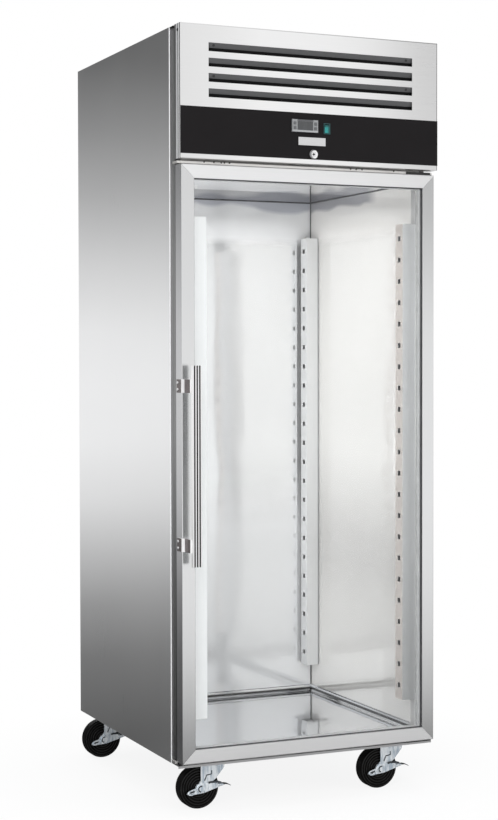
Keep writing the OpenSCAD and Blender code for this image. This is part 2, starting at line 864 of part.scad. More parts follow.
// Upper hinge plate under the ledge and lower hinge plate on the sill, each with its pin
module hinge_plates() {
  x0 = hinge_x + hinge_nose - hinge_plate_l;
  x1 = hinge_x + hinge_nose;
  y0 = hinge_y - hinge_nose;
  color([0.16, 0.16, 0.17]) {
    block([x0, y0, ledge_z - hinge_plate_t], [x1, frame_y, ledge_z]);
    block([x0, frame_y - ledge_d - hinge_plate_t, ledge_z - hinge_plate_t],
          [x1, frame_y - ledge_d, ledge_z + ledge_t]);
    rod_z([hinge_x, hinge_y, door_top_z - hinge_pin_l],
          ledge_z - door_top_z + hinge_pin_l, hinge_pin_r);
    block([x0, y0, lower_plate_top - hinge_plate_t], [x1, frame_y, lower_plate_top]);
    block([x0, frame_y - hinge_plate_t, lower_plate_top - hinge_plate_t],
          [x1, frame_y, lower_plate_top + hinge_leg_h]);
    rod_z([hinge_x, hinge_y, lower_plate_top - hinge_plate_t],
          door_z + hinge_pin_l - lower_plate_top + hinge_plate_t, hinge_pin_r);
  }
}

// Arms on the front posts that carry the fascia on two pins
module fascia_pivots() {
  arm_x = half_w - fascia_t - fascia_hem - pivot_arm_t - pivot_side_gap;
  color([0.5, 0.51, 0.52]) both_sides() {
    block([arm_x, fascia_pivot_y - pivot_arm_h / 2, fascia_pivot_z - pivot_arm_h / 2],
          [arm_x + pivot_arm_t, frame_y, fascia_pivot_z + pivot_arm_h / 2]);
    rod_x([arm_x, fascia_pivot_y, fascia_pivot_z], half_w - arm_x, fascia_pin_r);
  }
}

// Folded front of the machine compartment, with its slots, cut-outs and pivot holes
module fascia_panel() {
  x0 = half_w - fascia_t;
  flange_y = fascia_y + fascia_d;
  top_x = half_w - fascia_top_notch;
  color([0.88, 0.88, 0.88]) difference() {
    union() {
      block([-half_w, fascia_y, fascia_z], [half_w, fascia_y + fascia_t, top_z]);
      both_sides() {
        block([x0, fascia_y, fascia_z], [half_w, flange_y, top_z]);
        block([x0 - fascia_hem, flange_y - fascia_t, fascia_z], [half_w, flange_y, top_z]);
      }
      block([-top_x, fascia_y, top_z - fascia_t], [top_x, flange_y, top_z]);
      block([-half_w, fascia_y, fascia_z], [half_w, flange_y, fascia_z + fascia_t]);
    }
    for (i = [0 : louvre_count - 1])
      translate([-louvre_l / 2, fascia_y - cut, louvre_z(i) - louvre_h])
        cube([louvre_l, fascia_t + 2 * cut, louvre_h]);
    panel_cutouts(fascia_y, fascia_t);
    cam_slot(fascia_z, fascia_z + fascia_t);
    rod_x([-half_w - cut, fascia_pivot_y, fascia_pivot_z], cabinet_w + 2 * cut, fascia_pin_r + run_gap);
  }
}

// Height of a louvre slot's top edge
function louvre_z(i) = top_z - louvre_top - i * louvre_pitch;

// Cut-outs for controller, rocker switch and lock through a sheet at y of thickness t
module panel_cutouts(y, t) {
  block([controller_x0 + bezel_lap, y - cut, controller_z0 + bezel_lap],
        [controller_x1 - bezel_lap, y + t + cut, controller_z1 - bezel_lap]);
  block([rocker_x0 + rocker_inset, y - cut, rocker_z0 + rocker_inset],
        [rocker_x1 - rocker_inset, y + t + cut, rocker_z1 - rocker_inset]);
  rod_y([0, y - cut, lock_cz], t + 2 * cut, lock_barrel_r);
}

// Slot that the lock's cam swings down through, between two heights
module cam_slot(z0, z1) {
  drop = lock_cz - z1;
  reach_x = sqrt(max(0, cam_reach * cam_reach - drop * drop)) + cam_w / 2 + cam_gap;
  block([-cam_w / 2 - cam_gap, cam_y - cam_gap, z0 - cut],
        [reach_x, cam_y - cam_gap + cam_slot_d, z1 + cut]);
}

// Bent strips behind the louvre slots
module louvre_blades() {
  over = 7;
  lean = blade_t * sqrt(blade_d * blade_d + blade_drop * blade_drop) / blade_drop;
  color([0.33, 0.33, 0.34])
    for (i = [0 : louvre_count - 1])
      translate([-louvre_l / 2 - over, fascia_y + fascia_t, louvre_z(i)])
        rotate([90, 0, 90]) linear_extrude(louvre_l + 2 * over)
          polygon([[0, 0], [blade_d, -blade_drop], [blade_d + lean, -blade_drop],
                   [blade_t, 0], [blade_t, blade_flange], [0, blade_flange]]);
}

module control_band() {
  color([0.13, 0.13, 0.13]) difference() {
    block([-half_w, band_y, band_z], [half_w, fascia_y, band_z + band_h]);
    panel_cutouts(band_y, band_t);
  }
}

// Places of the four push-buttons: side and row signs
module at_button(side, row) {
  translate([controller_x + side * button_column, bezel_y, controller_cz + row * button_pitch / 2])
    children();
}

// Controller with its bezel, the recess for its window and the wells of its buttons
module controller_housing() {
  well = button_size + 2 * button_gap;
  color([0.75, 0.76, 0.77]) difference() {
    union() {
      block([controller_x0, bezel_y, controller_z0], [controller_x1, band_y, controller_z1]);
      block([controller_x0 + bezel_lap, band_y, controller_z0 + bezel_lap],
            [controller_x1 - bezel_lap, band_y + controller_d, controller_z1 - bezel_lap]);
    }
    block([controller_x - window_w / 2, bezel_y - cut, controller_cz - window_h / 2],
          [controller_x + window_w / 2, bezel_y + window_t, controller_cz + window_h / 2]);
    for (side = [-1, 1], row = [-1, 1])
      at_button(side, row)
        translate([-well / 2, -cut, -well / 2]) cube([well, button_pocket + cut, well]);
  }
}

module controller_window() {
  color([0.2, 0.2, 0.21])
    block([controller_x - window_w / 2, bezel_y, controller_cz - window_h / 2],
          [controller_x + window_w / 2, bezel_y + window_t, controller_cz + window_h / 2]);
}

module push_button(side, row) {
  color([0.62, 0.63, 0.64]) at_button(side, row)
    translate([-button_size / 2, -button_proud, -button_size / 2])
      cube([button_size, button_l, button_size]);
}

module button_upper_left() {
  push_button(-1, 1);
}

module button_lower_left() {
  push_button(-1, -1);
}

module button_upper_right() {
  push_button(1, 1);
}

module button_lower_right() {
  push_button(1, -1);
}

// Frame of the rocker switch, with the well and the pin holes of the rocker
module rocker_housing() {
  well_w = rocker_w - 2 * rocker_border;
  well_h = rocker_h - 2 * rocker_border;
  well_floor = 4;
  well_d = rocker_d - well_floor;
  bezel_front = band_y - rocker_bezel_t;
  color([0.08, 0.3, 0.3]) difference() {
    union() {
      block([rocker_x0, bezel_front, rocker_z0], [rocker_x1, band_y, rocker_z1]);
      block([rocker_x0 + rocker_inset, band_y, rocker_z0 + rocker_inset],
            [rocker_x1 - rocker_inset, band_y + rocker_d, rocker_z1 - rocker_inset]);
    }
    block([rocker_x - well_w / 2, bezel_front - cut, rocker_cz - well_h / 2],
          [rocker_x + well_w / 2, band_y + well_d, rocker_cz + well_h / 2]);
    rod_x([rocker_x - rocker_w, rocker_axis_y, rocker_cz], 2 * rocker_w, rocker_pin_r + run_gap);
  }
}

// Rocker with a dished face, tilted to its off position, on two short pins
module rocker_switch() {
  well_w = rocker_w - 2 * rocker_border;
  tilt_gap = 1;
  half_h = rocker_h / 2 - rocker_border - rocker_gap - tilt_gap;
  w = well_w - 2 * rocker_gap;
  crest = 7;
  dish = 5.4;
  rim = 3;
  keel = 7;
  keel_step = 2;
  keel_h = half_h - keel_step;
  pin_l = well_w + rocker_inset;
  color([0.05, 0.55, 0.53]) translate([rocker_x, rocker_axis_y, rocker_cz]) {
    rotate([rocker_tilt, 0, 0]) translate([-w / 2, 0, 0])
      rotate([90, 0, 90]) linear_extrude(w)
        polygon([[-dish, 0], [-crest, half_h], [-crest + rim, half_h], [0, keel_h], [keel, 0],
                 [0, -keel_h], [-crest + rim, -half_h], [-crest, -half_h]]);
    rod_x([-pin_l / 2, 0, 0], pin_l, rocker_pin_r);
  }
}

module bare_plate() {
  color([0.82, 0.82, 0.83])
    block([plate_x - plate_w / 2, band_y - plate_t, band_z + plate_z - plate_h / 2],
          [plate_x + plate_w / 2, band_y, band_z + plate_z + plate_h / 2]);
}

// Fixed barrel of the door lock, with its escutcheon
module lock_barrel() {
  color([0.8, 0.8, 0.8]) difference() {
    union() {
      rod_y([0, band_y - lock_flange_t, lock_cz], lock_flange_t, lock_flange_r);
      rod_y([0, band_y, lock_cz], fascia_y + lock_barrel_l - band_y, lock_barrel_r);
    }
    rod_y([0, band_y - lock_flange_t - cut, lock_cz],
          fascia_y + lock_barrel_l - band_y + lock_flange_t + 2 * cut, lock_plug_r + run_gap);
  }
}

// Turning plug with its key slot, and the cam behind it in the unlocked position
module lock_plug() {
  front_y = band_y - lock_flange_t;
  slot_depth = 8;
  color([0.7, 0.7, 0.7]) {
    difference() {
      rod_y([0, front_y, lock_cz], cam_y - front_y, lock_plug_r);
      translate([-key_slot_w / 2, front_y - cut, lock_cz - key_slot_l / 2])
        cube([key_slot_w, slot_depth + cut, key_slot_l]);
    }
    rod_y([0, cam_y, lock_cz], cam_t, cam_w / 2);
    block([0, cam_y, lock_cz - cam_w / 2], [cam_reach, cam_y + cam_t, lock_cz + cam_w / 2]);
  }
}

// Hollow cross-section of a door bar: x from the outer edge inwards, y from the door's front
module door_profile() {
  inner_w = door_face_w - groove_depth - 2 * door_wall;
  difference() {
    square([door_face_w, door_t]);
    translate([door_face_w - groove_depth, groove_lip]) square([groove_depth + cut, groove_w]);
    translate([door_wall, door_wall]) square([inner_w, door_t - 2 * door_wall]);
  }
}

// Holes that the two hinge bushes sit in
module bush_holes() {
  rod_z([hinge_x, hinge_y, door_z - cut], bush_l + cut, bush_r);
  rod_z([hinge_x, hinge_y, door_top_z - bush_l], bush_l + cut, bush_r);
}

// Screw holes of the handle brackets, or their shanks
module handle_shanks(r, x0, length) {
  for (z = bracket_zs, s = [-1, 1])
    rod_x([x0, door_y + door_t / 2, z + s * bracket_screw_gap / 2], length, r);
}

// Left and right bars of the door, mitred at their ends
module door_stiles() {
  color([0.78, 0.79, 0.8]) difference() {
    both_sides() intersection() {
      translate([-door_x, door_y, door_z]) linear_extrude(door_top_z - door_z) door_profile();
      translate([0, door_back_y + cut, 0]) rotate([90, 0, 0]) linear_extrude(door_t + 2 * cut)
        polygon([[-door_x, door_z], [-open_x, open_z0], [-open_x, open_z1], [-door_x, door_top_z]]);
    }
    bush_holes();
    handle_shanks(bracket_screw_r + seat_gap, -door_x - cut, door_wall + 2 * cut);
  }
}

// Top and bottom bars of the door, mitred at their ends, with the cam's slot in the top one
module door_rails() {
  color([0.78, 0.79, 0.8]) difference() {
    for (top = [0, 1]) intersection() {
      translate([-door_x, door_y, top ? door_top_z : door_z]) rotate([0, 90, 0])
        mirror([top ? 0 : 1, 0, 0])
          linear_extrude(2 * door_x) door_profile();
      translate([0, door_back_y + cut, 0]) rotate([90, 0, 0]) linear_extrude(door_t + 2 * cut)
        polygon(top
          ? [[-door_x, door_top_z], [-open_x, open_z1], [open_x, open_z1], [door_x, door_top_z]]
          : [[-door_x, door_z], [-open_x, open_z0], [open_x, open_z0], [door_x, door_z]]);
    }
    bush_holes();
    cam_slot(lock_cz - cam_reach - cam_gap, door_top_z);
  }
}

// A rectangular slab that fills the door's opening and laps it by a margin
module pane_slab(margin, y, t) {
  block([-open_x - margin, y, open_z0 - margin], [open_x + margin, y + t, open_z1 + margin]);
}

module glass_panes() {
  color([0.8, 0.9, 0.9, 0.3]) {
    pane_slab(pane_lap, outer_pane_y, pane_t);
    pane_slab(pane_lap, inner_pane_y, pane_t);
  }
}

// Rubber frame that holds both panes in the groove of the door bars
module glazing_seal() {
  color([0.12, 0.12, 0.12]) difference() {
    pane_slab(groove_depth, groove_y, groove_w);
    pane_slab(-glazing_show, groove_y - cut, groove_w + 2 * cut);
    pane_slab(pane_lap, outer_pane_y, pane_t);
    pane_slab(pane_lap, inner_pane_y, pane_t);
  }
}

// Magnetic seal on the back of the door, with the groove of its bellows
module door_seal() {
  outer_x = chamber_x + seal_lap;
  z0 = floor_z - seal_lap;
  z1 = ceiling_z + seal_lap;
  seal_t = seal_gap - seal_clearance;
  groove = seal_t / 3;
  color([0.2, 0.2, 0.21]) difference() {
    block([-outer_x, door_back_y, z0], [outer_x, door_back_y + seal_t, z1]);
    block([-outer_x + seal_w, door_back_y - cut, z0 + seal_w],
          [outer_x - seal_w, door_back_y + seal_t + cut, z1 - seal_w]);
    block([-outer_x + seal_w - groove, door_back_y + groove, z0 + seal_w - groove],
          [outer_x - seal_w + groove, door_back_y + 2 * groove, z1 - seal_w + groove]);
  }
}

// Vertical grooved bar of the handle
module handle_bar() {
  rib = (bar_w - bar_grooves * bar_groove_w) / (bar_grooves + 1);
  color([0.9, 0.9, 0.9]) difference() {
    block([bar_x, handle_y, bar_z - bar_l / 2], [bar_x + bar_w, handle_y + bar_d, bar_z + bar_l / 2]);
    for (i = [0 : bar_grooves - 1])
      translate([bar_x + rib + i * (rib + bar_groove_w), handle_y - cut, bar_z - bar_l / 2 - cut])
        cube([bar_groove_w, bar_groove_d + cut, bar_l + 2 * cut]);
  }
}

// Bent straps from the door's edge to the back of the handle bar
module handle_brackets() {
  color([0.24, 0.22, 0.22]) difference() {
    for (z = bracket_zs)
      translate([0, 0, z - bracket_h / 2]) linear_extrude(bracket_h) {
        translate([-door_x - bracket_t, door_y - bracket_t]) square([bracket_t, bracket_side_d]);
        translate([-door_x - bracket_t, door_y - bracket_t])
          square([bracket_step + bracket_t, bracket_t]);
        translate([bar_x - bracket_t, bracket_y]) square([bracket_t, door_y - bracket_y]);
        translate([bar_x - bracket_t, bracket_y]) square([bar_w + bracket_t - fold_short, bracket_t]);
      }
    handle_shanks(bracket_screw_r + seat_gap, -door_x - bracket_t - cut, bracket_t + 2 * cut);
  }
}

module handle_screws() {
  color([0.75, 0.75, 0.76]) {
    handle_shanks(bracket_screw_r, -door_x - bracket_t - screw_head_t, screw_l);
    handle_shanks(screw_head_r, -door_x - bracket_t - screw_head_t, screw_head_t - seat_gap);
  }
}

// Bushes in the door's hinge corners
module hinge_bushes() {
  color([0.1, 0.1, 0.1]) for (z = [door_z, door_top_z - bush_l])
    difference() {
      rod_z([hinge_x, hinge_y, z], bush_l, bush_r - seat_gap);
      rod_z([hinge_x, hinge_y, z - cut], bush_l + 2 * cut, hinge_pin_r + run_gap);
    }
}

// Mounting plates with the upper races and king pins, and their bolts
module caster_plates() {
  head_r = 1.8 * king_pin_r;
  head_t = 3;
  color([0.75, 0.77, 0.8]) {
    difference() {
      for (at = caster_places) translate([at.x, at.y, 0]) {
        block([-caster_plate_l / 2, -caster_plate_w / 2, plate_under_z],
              [caster_plate_l / 2, caster_plate_w / 2, caster_h]);
        rod_z([0, 0, race_z], race_h, race_r);
        rod_z([0, 0, crown_z - swivel_gap], race_z - crown_z + swivel_gap, king_pin_r);
        rod_z([0, 0, crown_z - swivel_gap - head_t], head_t, head_r);
      }
      caster_bolt_shanks(caster_bolt_r + seat_gap, plate_under_z - cut, caster_h + cut);
    }
    caster_bolt_shanks(caster_bolt_r, plate_under_z - bolt_head_t, base_z + bolt_rise);
    caster_bolt_shanks(bolt_head_r, plate_under_z - bolt_head_t, plate_under_z - seat_gap);
  }
}

// Side outline of a fork's leg, from the crown down to the axle boss
module leg_outline() {
  skirt = 8;
  knee_in = 24;
  knee_rise = 22;
  boss_drop = 2;
  boss_rise = 20;
  polygon([[-fork_rear, crown_z + crown_t], [fork_front, crown_z + crown_t],
           [fork_front, crown_z - skirt], [fork_front - knee_in, wheel_r + knee_rise],
           [-trail + boss_r, wheel_r - boss_drop], [-trail - boss_r, wheel_r],
           [-fork_rear, wheel_r + boss_rise]]);
  translate([-trail, wheel_r]) circle(r = boss_r);
}

// Fork of one caster, and the axle bolt through its legs
module caster_fork() {
  head_r = 1.6 * axle_r;
  head_t = 5;
  race_step = 3;
  front_y = -leg_out - swivel_gap - brake_t - swivel_gap;
  color([0.74, 0.77, 0.8]) {
    difference() {
      union() {
        for (y = [-leg_in, leg_out])
          translate([0, y, 0]) rotate([90, 0, 0]) linear_extrude(fork_t) leg_outline();
        block([-fork_rear, -leg_out, crown_z], [fork_front, leg_out, crown_z + crown_t]);
        rod_z([0, 0, crown_z], race_z - swivel_gap - crown_z, race_r - race_step);
      }
      rod_z([0, 0, crown_z - cut], race_z - crown_z + 2 * cut, king_pin_r + run_gap);
      rod_y([-trail, -leg_out - cut, wheel_r], 2 * leg_out + 2 * cut, axle_r + run_gap);
    }
    rod_y([-trail, front_y, wheel_r], leg_out + seat_gap - front_y, axle_r);
    rod_y([-trail, front_y - head_t, wheel_r], head_t, head_r);
    rod_y([-trail, leg_out + seat_gap, wheel_r], head_t, head_r);
  }
}

// Wheel with a rounded tread, ringed faces and a hub
module caster_wheel() {
  tread_r = 4;
  ring_w = 3;
  ring_d = 1.2;
  ring_rs = [0.55 * wheel_r, 0.72 * wheel_r];
  hub_r = 2.4 * axle_r;
  hub_gap = 0.4;
  hub_w = leg_in - hub_gap;
  half = wheel_w / 2;
  color([0.07, 0.07, 0.07]) translate([-trail, 0, wheel_r]) rotate([90, 0, 0])
    rotate_extrude() difference() {
      union() {
        translate([axle_r + run_gap, -half]) square([wheel_r - tread_r - axle_r - run_gap, wheel_w]);
        translate([axle_r + run_gap, -half + tread_r])
          square([wheel_r - axle_r - run_gap, wheel_w - 2 * tread_r]);
        for (s = [-1, 1]) translate([wheel_r - tread_r, s * (half - tread_r)]) circle(r = tread_r);
        translate([axle_r + run_gap, -hub_w]) square([hub_r - axle_r, 2 * hub_w]);
      }
      for (r = ring_rs, y = [-half - ring_d, half - ring_d])
        translate([r, y]) square([ring_w, 2 * ring_d]);
    }
}

// Side brake lever on the axle: a boss, a toe tab on one side and a release tab on the other
module caster_brake() {
  y0 = -leg_out - swivel_gap - brake_t;
  arm = 60;
  arm_end = 68;
  arm_z = 10;
  arm_end_z = 4;
  toe = 34;
  toe_end = 38;
  toe_root = 29;
  toe_top = 5;
  toe_drop = 15;
  toe_lip_drop = 12;
  toe_lip_w = 12;
  lip = 14;
  lip_w = 18;
  color([0.76, 0.78, 0.81]) difference() {
    translate([-trail, 0, wheel_r]) {
      translate([0, y0 + brake_t, 0]) rotate([90, 0, 0]) linear_extrude(brake_t) {
        circle(r = boss_r);
        polygon([[0, boss_r], [arm, arm_z], [arm_end, arm_end_z], [axle_r, -boss_r]]);
        polygon([[0, boss_r / 2], [-toe, -toe_top], [-toe_end, -toe_lip_drop],
                 [-toe_root, -toe_drop], [0, -boss_r]]);
      }
      block([arm - lip_w, y0 - lip, arm_z - brake_t], [arm, y0 + brake_t, arm_z]);
      block([-toe_end, y0 - lip, -toe_lip_drop],
            [-toe_end + toe_lip_w, y0 + brake_t, brake_t - toe_lip_drop]);
    }
    rod_y([-trail, y0 - cut, wheel_r], brake_t + 2 * cut, axle_r + run_gap);
  }
}

// Place of one caster: side and end are -1 or 1
module at_caster(side, end) {
  at = end < 0 ? front_caster : rear_caster;
  translate([side * at.x, at.y, 0]) children();
}

module front_left_fork() {
  at_caster(-1, -1) caster_fork();
}

module front_left_wheel() {
  at_caster(-1, -1) caster_wheel();
}

module front_left_brake() {
  at_caster(-1, -1) caster_brake();
}

module front_right_fork() {
  at_caster(1, -1) caster_fork();
}

module front_right_wheel() {
  at_caster(1, -1) caster_wheel();
}

module front_right_brake() {
  at_caster(1, -1) caster_brake();
}

module rear_left_fork() {
  at_caster(-1, 1) caster_fork();
}

module rear_left_wheel() {
  at_caster(-1, 1) caster_wheel();
}

module rear_left_brake() {
  at_caster(-1, 1) caster_brake();
}

module rear_right_fork() {
  at_caster(1, 1) caster_fork();
}

module rear_right_wheel() {
  at_caster(1, 1) caster_wheel();
}

module rear_right_brake() {
  at_caster(1, 1) caster_brake();
}

left_side_panel();
right_side_panel();
back_panel();
top_cover();
base_pan();
foam_insulation();
left_liner();
right_liner();
back_liner();
ceiling_liner();
floor_liner();
frame_posts();
frame_rails();
slotted_uprights();
air_plenum();
fan_motor();
fan_guard();
fan_impeller();
heater_element();
humidifier_tank();
electrical_box();
cable_gland();
hinge_plates();
fascia_pivots();
caster_plates();
fascia_panel();
louvre_blades();
control_band();
controller_housing();
controller_window();
rocker_housing();
bare_plate();
lock_barrel();
rocker_switch();
lock_plug();
button_upper_left();
button_lower_left();
button_upper_right();
button_lower_right();
door_stiles();
door_rails();
glass_panes();
glazing_seal();
door_seal();
handle_bar();
handle_brackets();
handle_screws();
hinge_bushes();
front_left_fork();
front_left_wheel();
front_left_brake();
front_right_fork();
front_right_wheel();
front_right_brake();
rear_left_fork();
rear_left_wheel();
rear_left_brake();
rear_right_fork();
rear_right_wheel();
rear_right_brake();
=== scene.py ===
import json
import math

import bmesh
import bpy
from mathutils import Matrix, Vector


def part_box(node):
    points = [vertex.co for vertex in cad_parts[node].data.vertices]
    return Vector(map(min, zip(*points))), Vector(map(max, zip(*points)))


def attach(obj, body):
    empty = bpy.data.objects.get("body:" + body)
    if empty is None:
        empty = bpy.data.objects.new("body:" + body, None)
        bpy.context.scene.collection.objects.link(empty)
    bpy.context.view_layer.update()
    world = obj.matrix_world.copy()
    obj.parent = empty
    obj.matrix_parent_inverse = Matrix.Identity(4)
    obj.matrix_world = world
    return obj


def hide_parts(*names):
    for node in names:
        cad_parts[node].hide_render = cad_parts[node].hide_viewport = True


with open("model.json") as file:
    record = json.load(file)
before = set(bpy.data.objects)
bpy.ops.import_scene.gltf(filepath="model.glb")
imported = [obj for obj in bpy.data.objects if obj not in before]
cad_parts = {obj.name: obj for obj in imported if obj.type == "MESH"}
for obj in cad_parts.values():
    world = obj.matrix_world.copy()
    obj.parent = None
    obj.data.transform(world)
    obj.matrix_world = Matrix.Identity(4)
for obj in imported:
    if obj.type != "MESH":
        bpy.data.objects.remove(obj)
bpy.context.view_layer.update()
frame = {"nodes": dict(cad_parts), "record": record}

NODES = frame["nodes"]
RECORD = frame["record"]
BODY_OF = {n: body for body, names in RECORD["behaviour"]["bodies"].items() for n in names}
SLOT_OF = {s["node"]: s["material_slot"] for s in RECORD["subparts"]}
MM = 0.001
SAME_PLACE = 0.02 * MM


# Nodes of a finish

def reopen(finish):
    """The node tree of a finish, and its shader."""
    tree = finish.node_tree
    return tree, tree.nodes["Principled BSDF"]


def start_finish(name):
    """A new finish with its node tree and shader."""
    finish = bpy.data.materials.new(name)
    finish.use_nodes = True
    return finish, *reopen(finish)


def own_finish(name):
    """A new finish without the usual shader, with its node tree and the socket for a shader of its own."""
    finish, tree, shader = start_finish(name)
    tree.nodes.remove(shader)
    return finish, tree, tree.nodes["Material Output"].inputs["Surface"]


def join(tree, value, into):
    """Gives an input its value: another node's output, a colour or a number."""
    if isinstance(value, bpy.types.NodeSocket):
        tree.links.new(value, into)
    elif into.type == "RGBA":
        into.default_value = (*value, 1)
    else:
        into.default_value = value


def fill(tree, node, **inputs):
    for key, value in inputs.items():
        join(tree, value, node.inputs[key.replace("_", " ")])


def add(tree, kind, settings=None, **inputs):
    made = tree.nodes.new("ShaderNode" + kind)
    for key, value in (settings or {}).items():
        setattr(made, key, value)
    fill(tree, made, **inputs)
    return made


def own_place(tree, of="Object"):
    """The piece's own coordinates, or its faces' direction."""
    return add(tree, "TexCoord").outputs[of]


def place(tree, axis, of="Object"):
    """One coordinate of the piece, or of its faces' direction."""
    return add(tree, "SeparateXYZ", Vector=own_place(tree, of)).outputs[axis]


def length_of(tree, vector):
    return add(tree, "VectorMath", {"operation": "LENGTH"}, Vector=vector).outputs["Value"]


def from_axis(tree, x, z):
    """How far a point of the piece lies from an axis that runs from front to back."""
    flat = add(tree, "Mapping", Vector=own_place(tree), Location=(-x, 0, -z), Scale=(1, 0, 1))
    return length_of(tree, flat.outputs["Vector"])


def grain(tree, scale, detail, rough):
    """Noise on the piece's own coordinates, of one scale or of one along each axis."""
    scales = scale if isinstance(scale, (tuple, list)) else (scale, scale, scale)
    stretch = add(tree, "Mapping", Vector=own_place(tree), Scale=scales).outputs["Vector"]
    return add(tree, "TexNoise", Vector=stretch, Scale=1.0, Detail=detail, Roughness=rough).outputs["Fac"]


def ranged(tree, value, low, high, start=0.3, end=0.7):
    """A pattern brought from one range into another."""
    ranger = add(tree, "MapRange", Value=value, From_Min=start, From_Max=end, To_Min=low, To_Max=high)
    return ranger.outputs["Result"]


def reckon(tree, operation, first, second=0.0):
    """One step of arithmetic with node outputs or numbers."""
    step = add(tree, "Math", {"operation": operation})
    join(tree, first, step.inputs[0])
    join(tree, second, step.inputs[1])
    return step.outputs["Value"]


def size_of(tree, value):
    return reckon(tree, "ABSOLUTE", value)


def along(tree, axis, start, end, of="Object", mirrored=False):
    """0 to 1 as one coordinate goes from start to end, or to both sides of the middle alike."""
    value = place(tree, axis, of)
    return ranged(tree, size_of(tree, value) if mirrored else value, 0, 1, start, end)


def both(tree, first, *others):
    """A mask that is 1 where all of these are."""
    for other in others:
        first = reckon(tree, "MULTIPLY", first, other)
    return first


def stepped(tree, value, steps, interpolation="LINEAR"):
    """A ramp of steps, each given as a place and a grey or a colour."""
    ramp = add(tree, "ValToRGB", Fac=value)
    band = ramp.color_ramp
    band.interpolation = interpolation
    while len(band.elements) < len(steps):
        band.elements.new(0.5)
    for element, (at, tone) in zip(band.elements, steps):
        element.position = at
        element.color = (*tone, 1) if isinstance(tone, tuple) else (tone, tone, tone, 1)
    return ramp.outputs["Color"]


def tinted(tree, value, dark, light, start=0.3, end=0.7):
    """A pattern as a ramp between two colours."""
    return stepped(tree, value, [(start, dark), (end, light)])


def shade(colour, factor):
    return tuple(min(1.0, c * factor) for c in colour)


def varied(tree, value, colour, share):
    """A colour made darker and lighter by a share, as a pattern says."""
    return tinted(tree, value, shade(colour, 1 - share), shade(colour, 1 + share))


def multiplied(tree, first, second, share=1.0):
    """A pattern of colours multiplied by another, or by one colour, as far as the share says."""
    mix = add(tree, "Mix", {"data_type": "RGBA", "blend_type": "MULTIPLY"}, Factor=share, A=first, B=second)
    return mix.outputs["Result"]


def tone_where(tree, shader, mask, tone):
    """Lays another tone, or a pattern of tones, over a finish where the mask is 1."""
    colour = shader.inputs["Base Color"]
    join(tree, multiplied(tree, colour.links[0].from_socket, tone, mask), colour)


def metal_share(tree, shader, mask, share, elsewhere=1.0):
    """Sets how much of a finish is bare metal where the mask is 1, and elsewhere."""
    fill(tree, shader, Metallic=ranged(tree, mask, elsewhere, share, 0, 1))


def bumped(tree, shader, height, strength, distance):
    bump = add(tree, "Bump", Height=height, Strength=strength, Distance=distance)
    fill(tree, shader, Normal=bump.outputs["Normal"])


def blended(tree, share, first, second):
    """A shader that turns into a second one by a share."""
    mix = add(tree, "MixShader")
    for value, into in zip((share, first.outputs[0], second.outputs[0]), mix.inputs):
        join(tree, value, into)
    return mix


# Kinds of finish

def brushed_metal(name, colour, rough, lay, streak=0.03, metallic=1.0, bump=0.05, uneven=0.05):
    """Brushed sheet: fine streaks along one axis, with a slow drift in tone and gloss."""
    finish, tree, shader = start_finish(name)
    fine, drawn_out = 420.0, 5.0
    lines = grain(tree, [drawn_out if axis == lay else fine for axis in "xyz"], 4.0, 0.7)
    drift = grain(tree, 2.4, 2.0, 0.5)
    streaks = varied(tree, lines, colour, streak)
    clouds = tinted(tree, drift, (0.97, 0.97, 0.972), (1, 1, 1))
    line_gloss = ranged(tree, lines, rough - uneven, rough + uneven)
    gloss = reckon(tree, "ADD", line_gloss, ranged(tree, drift, -0.02, 0.03))
    fill(tree, shader, Base_Color=multiplied(tree, streaks, clouds), Roughness=gloss, Metallic=metallic)
    bumped(tree, shader, lines, bump, 0.4 * MM)
    return finish


def mirror_liner(name, colour, rough, wave, metallic):
    """Bright liner sheet: a soft mirror, slightly wavy, with a faint cloudiness."""
    finish, tree, shader = start_finish(name)
    cloud = grain(tree, (5, 5, 3), 3.0, 0.5)
    swell = grain(tree, (6.5, 6.5, 4.5), 1.0, 0.4)
    fill(tree, shader, Base_Color=tinted(tree, cloud, shade(colour, 0.985), shade(colour, 1.005)),
         Roughness=ranged(tree, cloud, rough - 0.02, rough + 0.02), Metallic=metallic)
    bumped(tree, shader, swell, wave, 20 * MM)
    return finish


def moulded_plastic(name, colour, rough, vary=0.12, pebble=900.0, bump=0.15, shine=0.5):
    """Moulded plastic: a fine pebble in the surface and a slow change of tone."""
    finish, tree, shader = start_finish(name)
    fine = grain(tree, pebble, 2.0, 0.6)
    slow = grain(tree, 9, 2.0, 0.5)
    fill(tree, shader, Base_Color=varied(tree, slow, colour, vary),
         Roughness=ranged(tree, fine, rough - 0.06, rough + 0.08), Specular_IOR_Level=shine)
    bumped(tree, shader, fine, bump, 0.3 * MM)
    return finish


def painted_sheet(name, colour, rough, metallic=0.0, worn=0.12, shine=0.5):
    """Painted or anodised dark sheet with orange peel and slightly worn tone."""
    finish, tree, shader = start_finish(name)
    peel = grain(tree, 340, 2.0, 0.5)
    wear = grain(tree, 28, 4.0, 0.7)
    fill(tree, shader, Base_Color=varied(tree, wear, colour, worn), Metallic=metallic,
         Roughness=ranged(tree, wear, rough - 0.08, rough + 0.08), Specular_IOR_Level=shine)
    bumped(tree, shader, peel, 0.12, 0.3 * MM)
    return finish


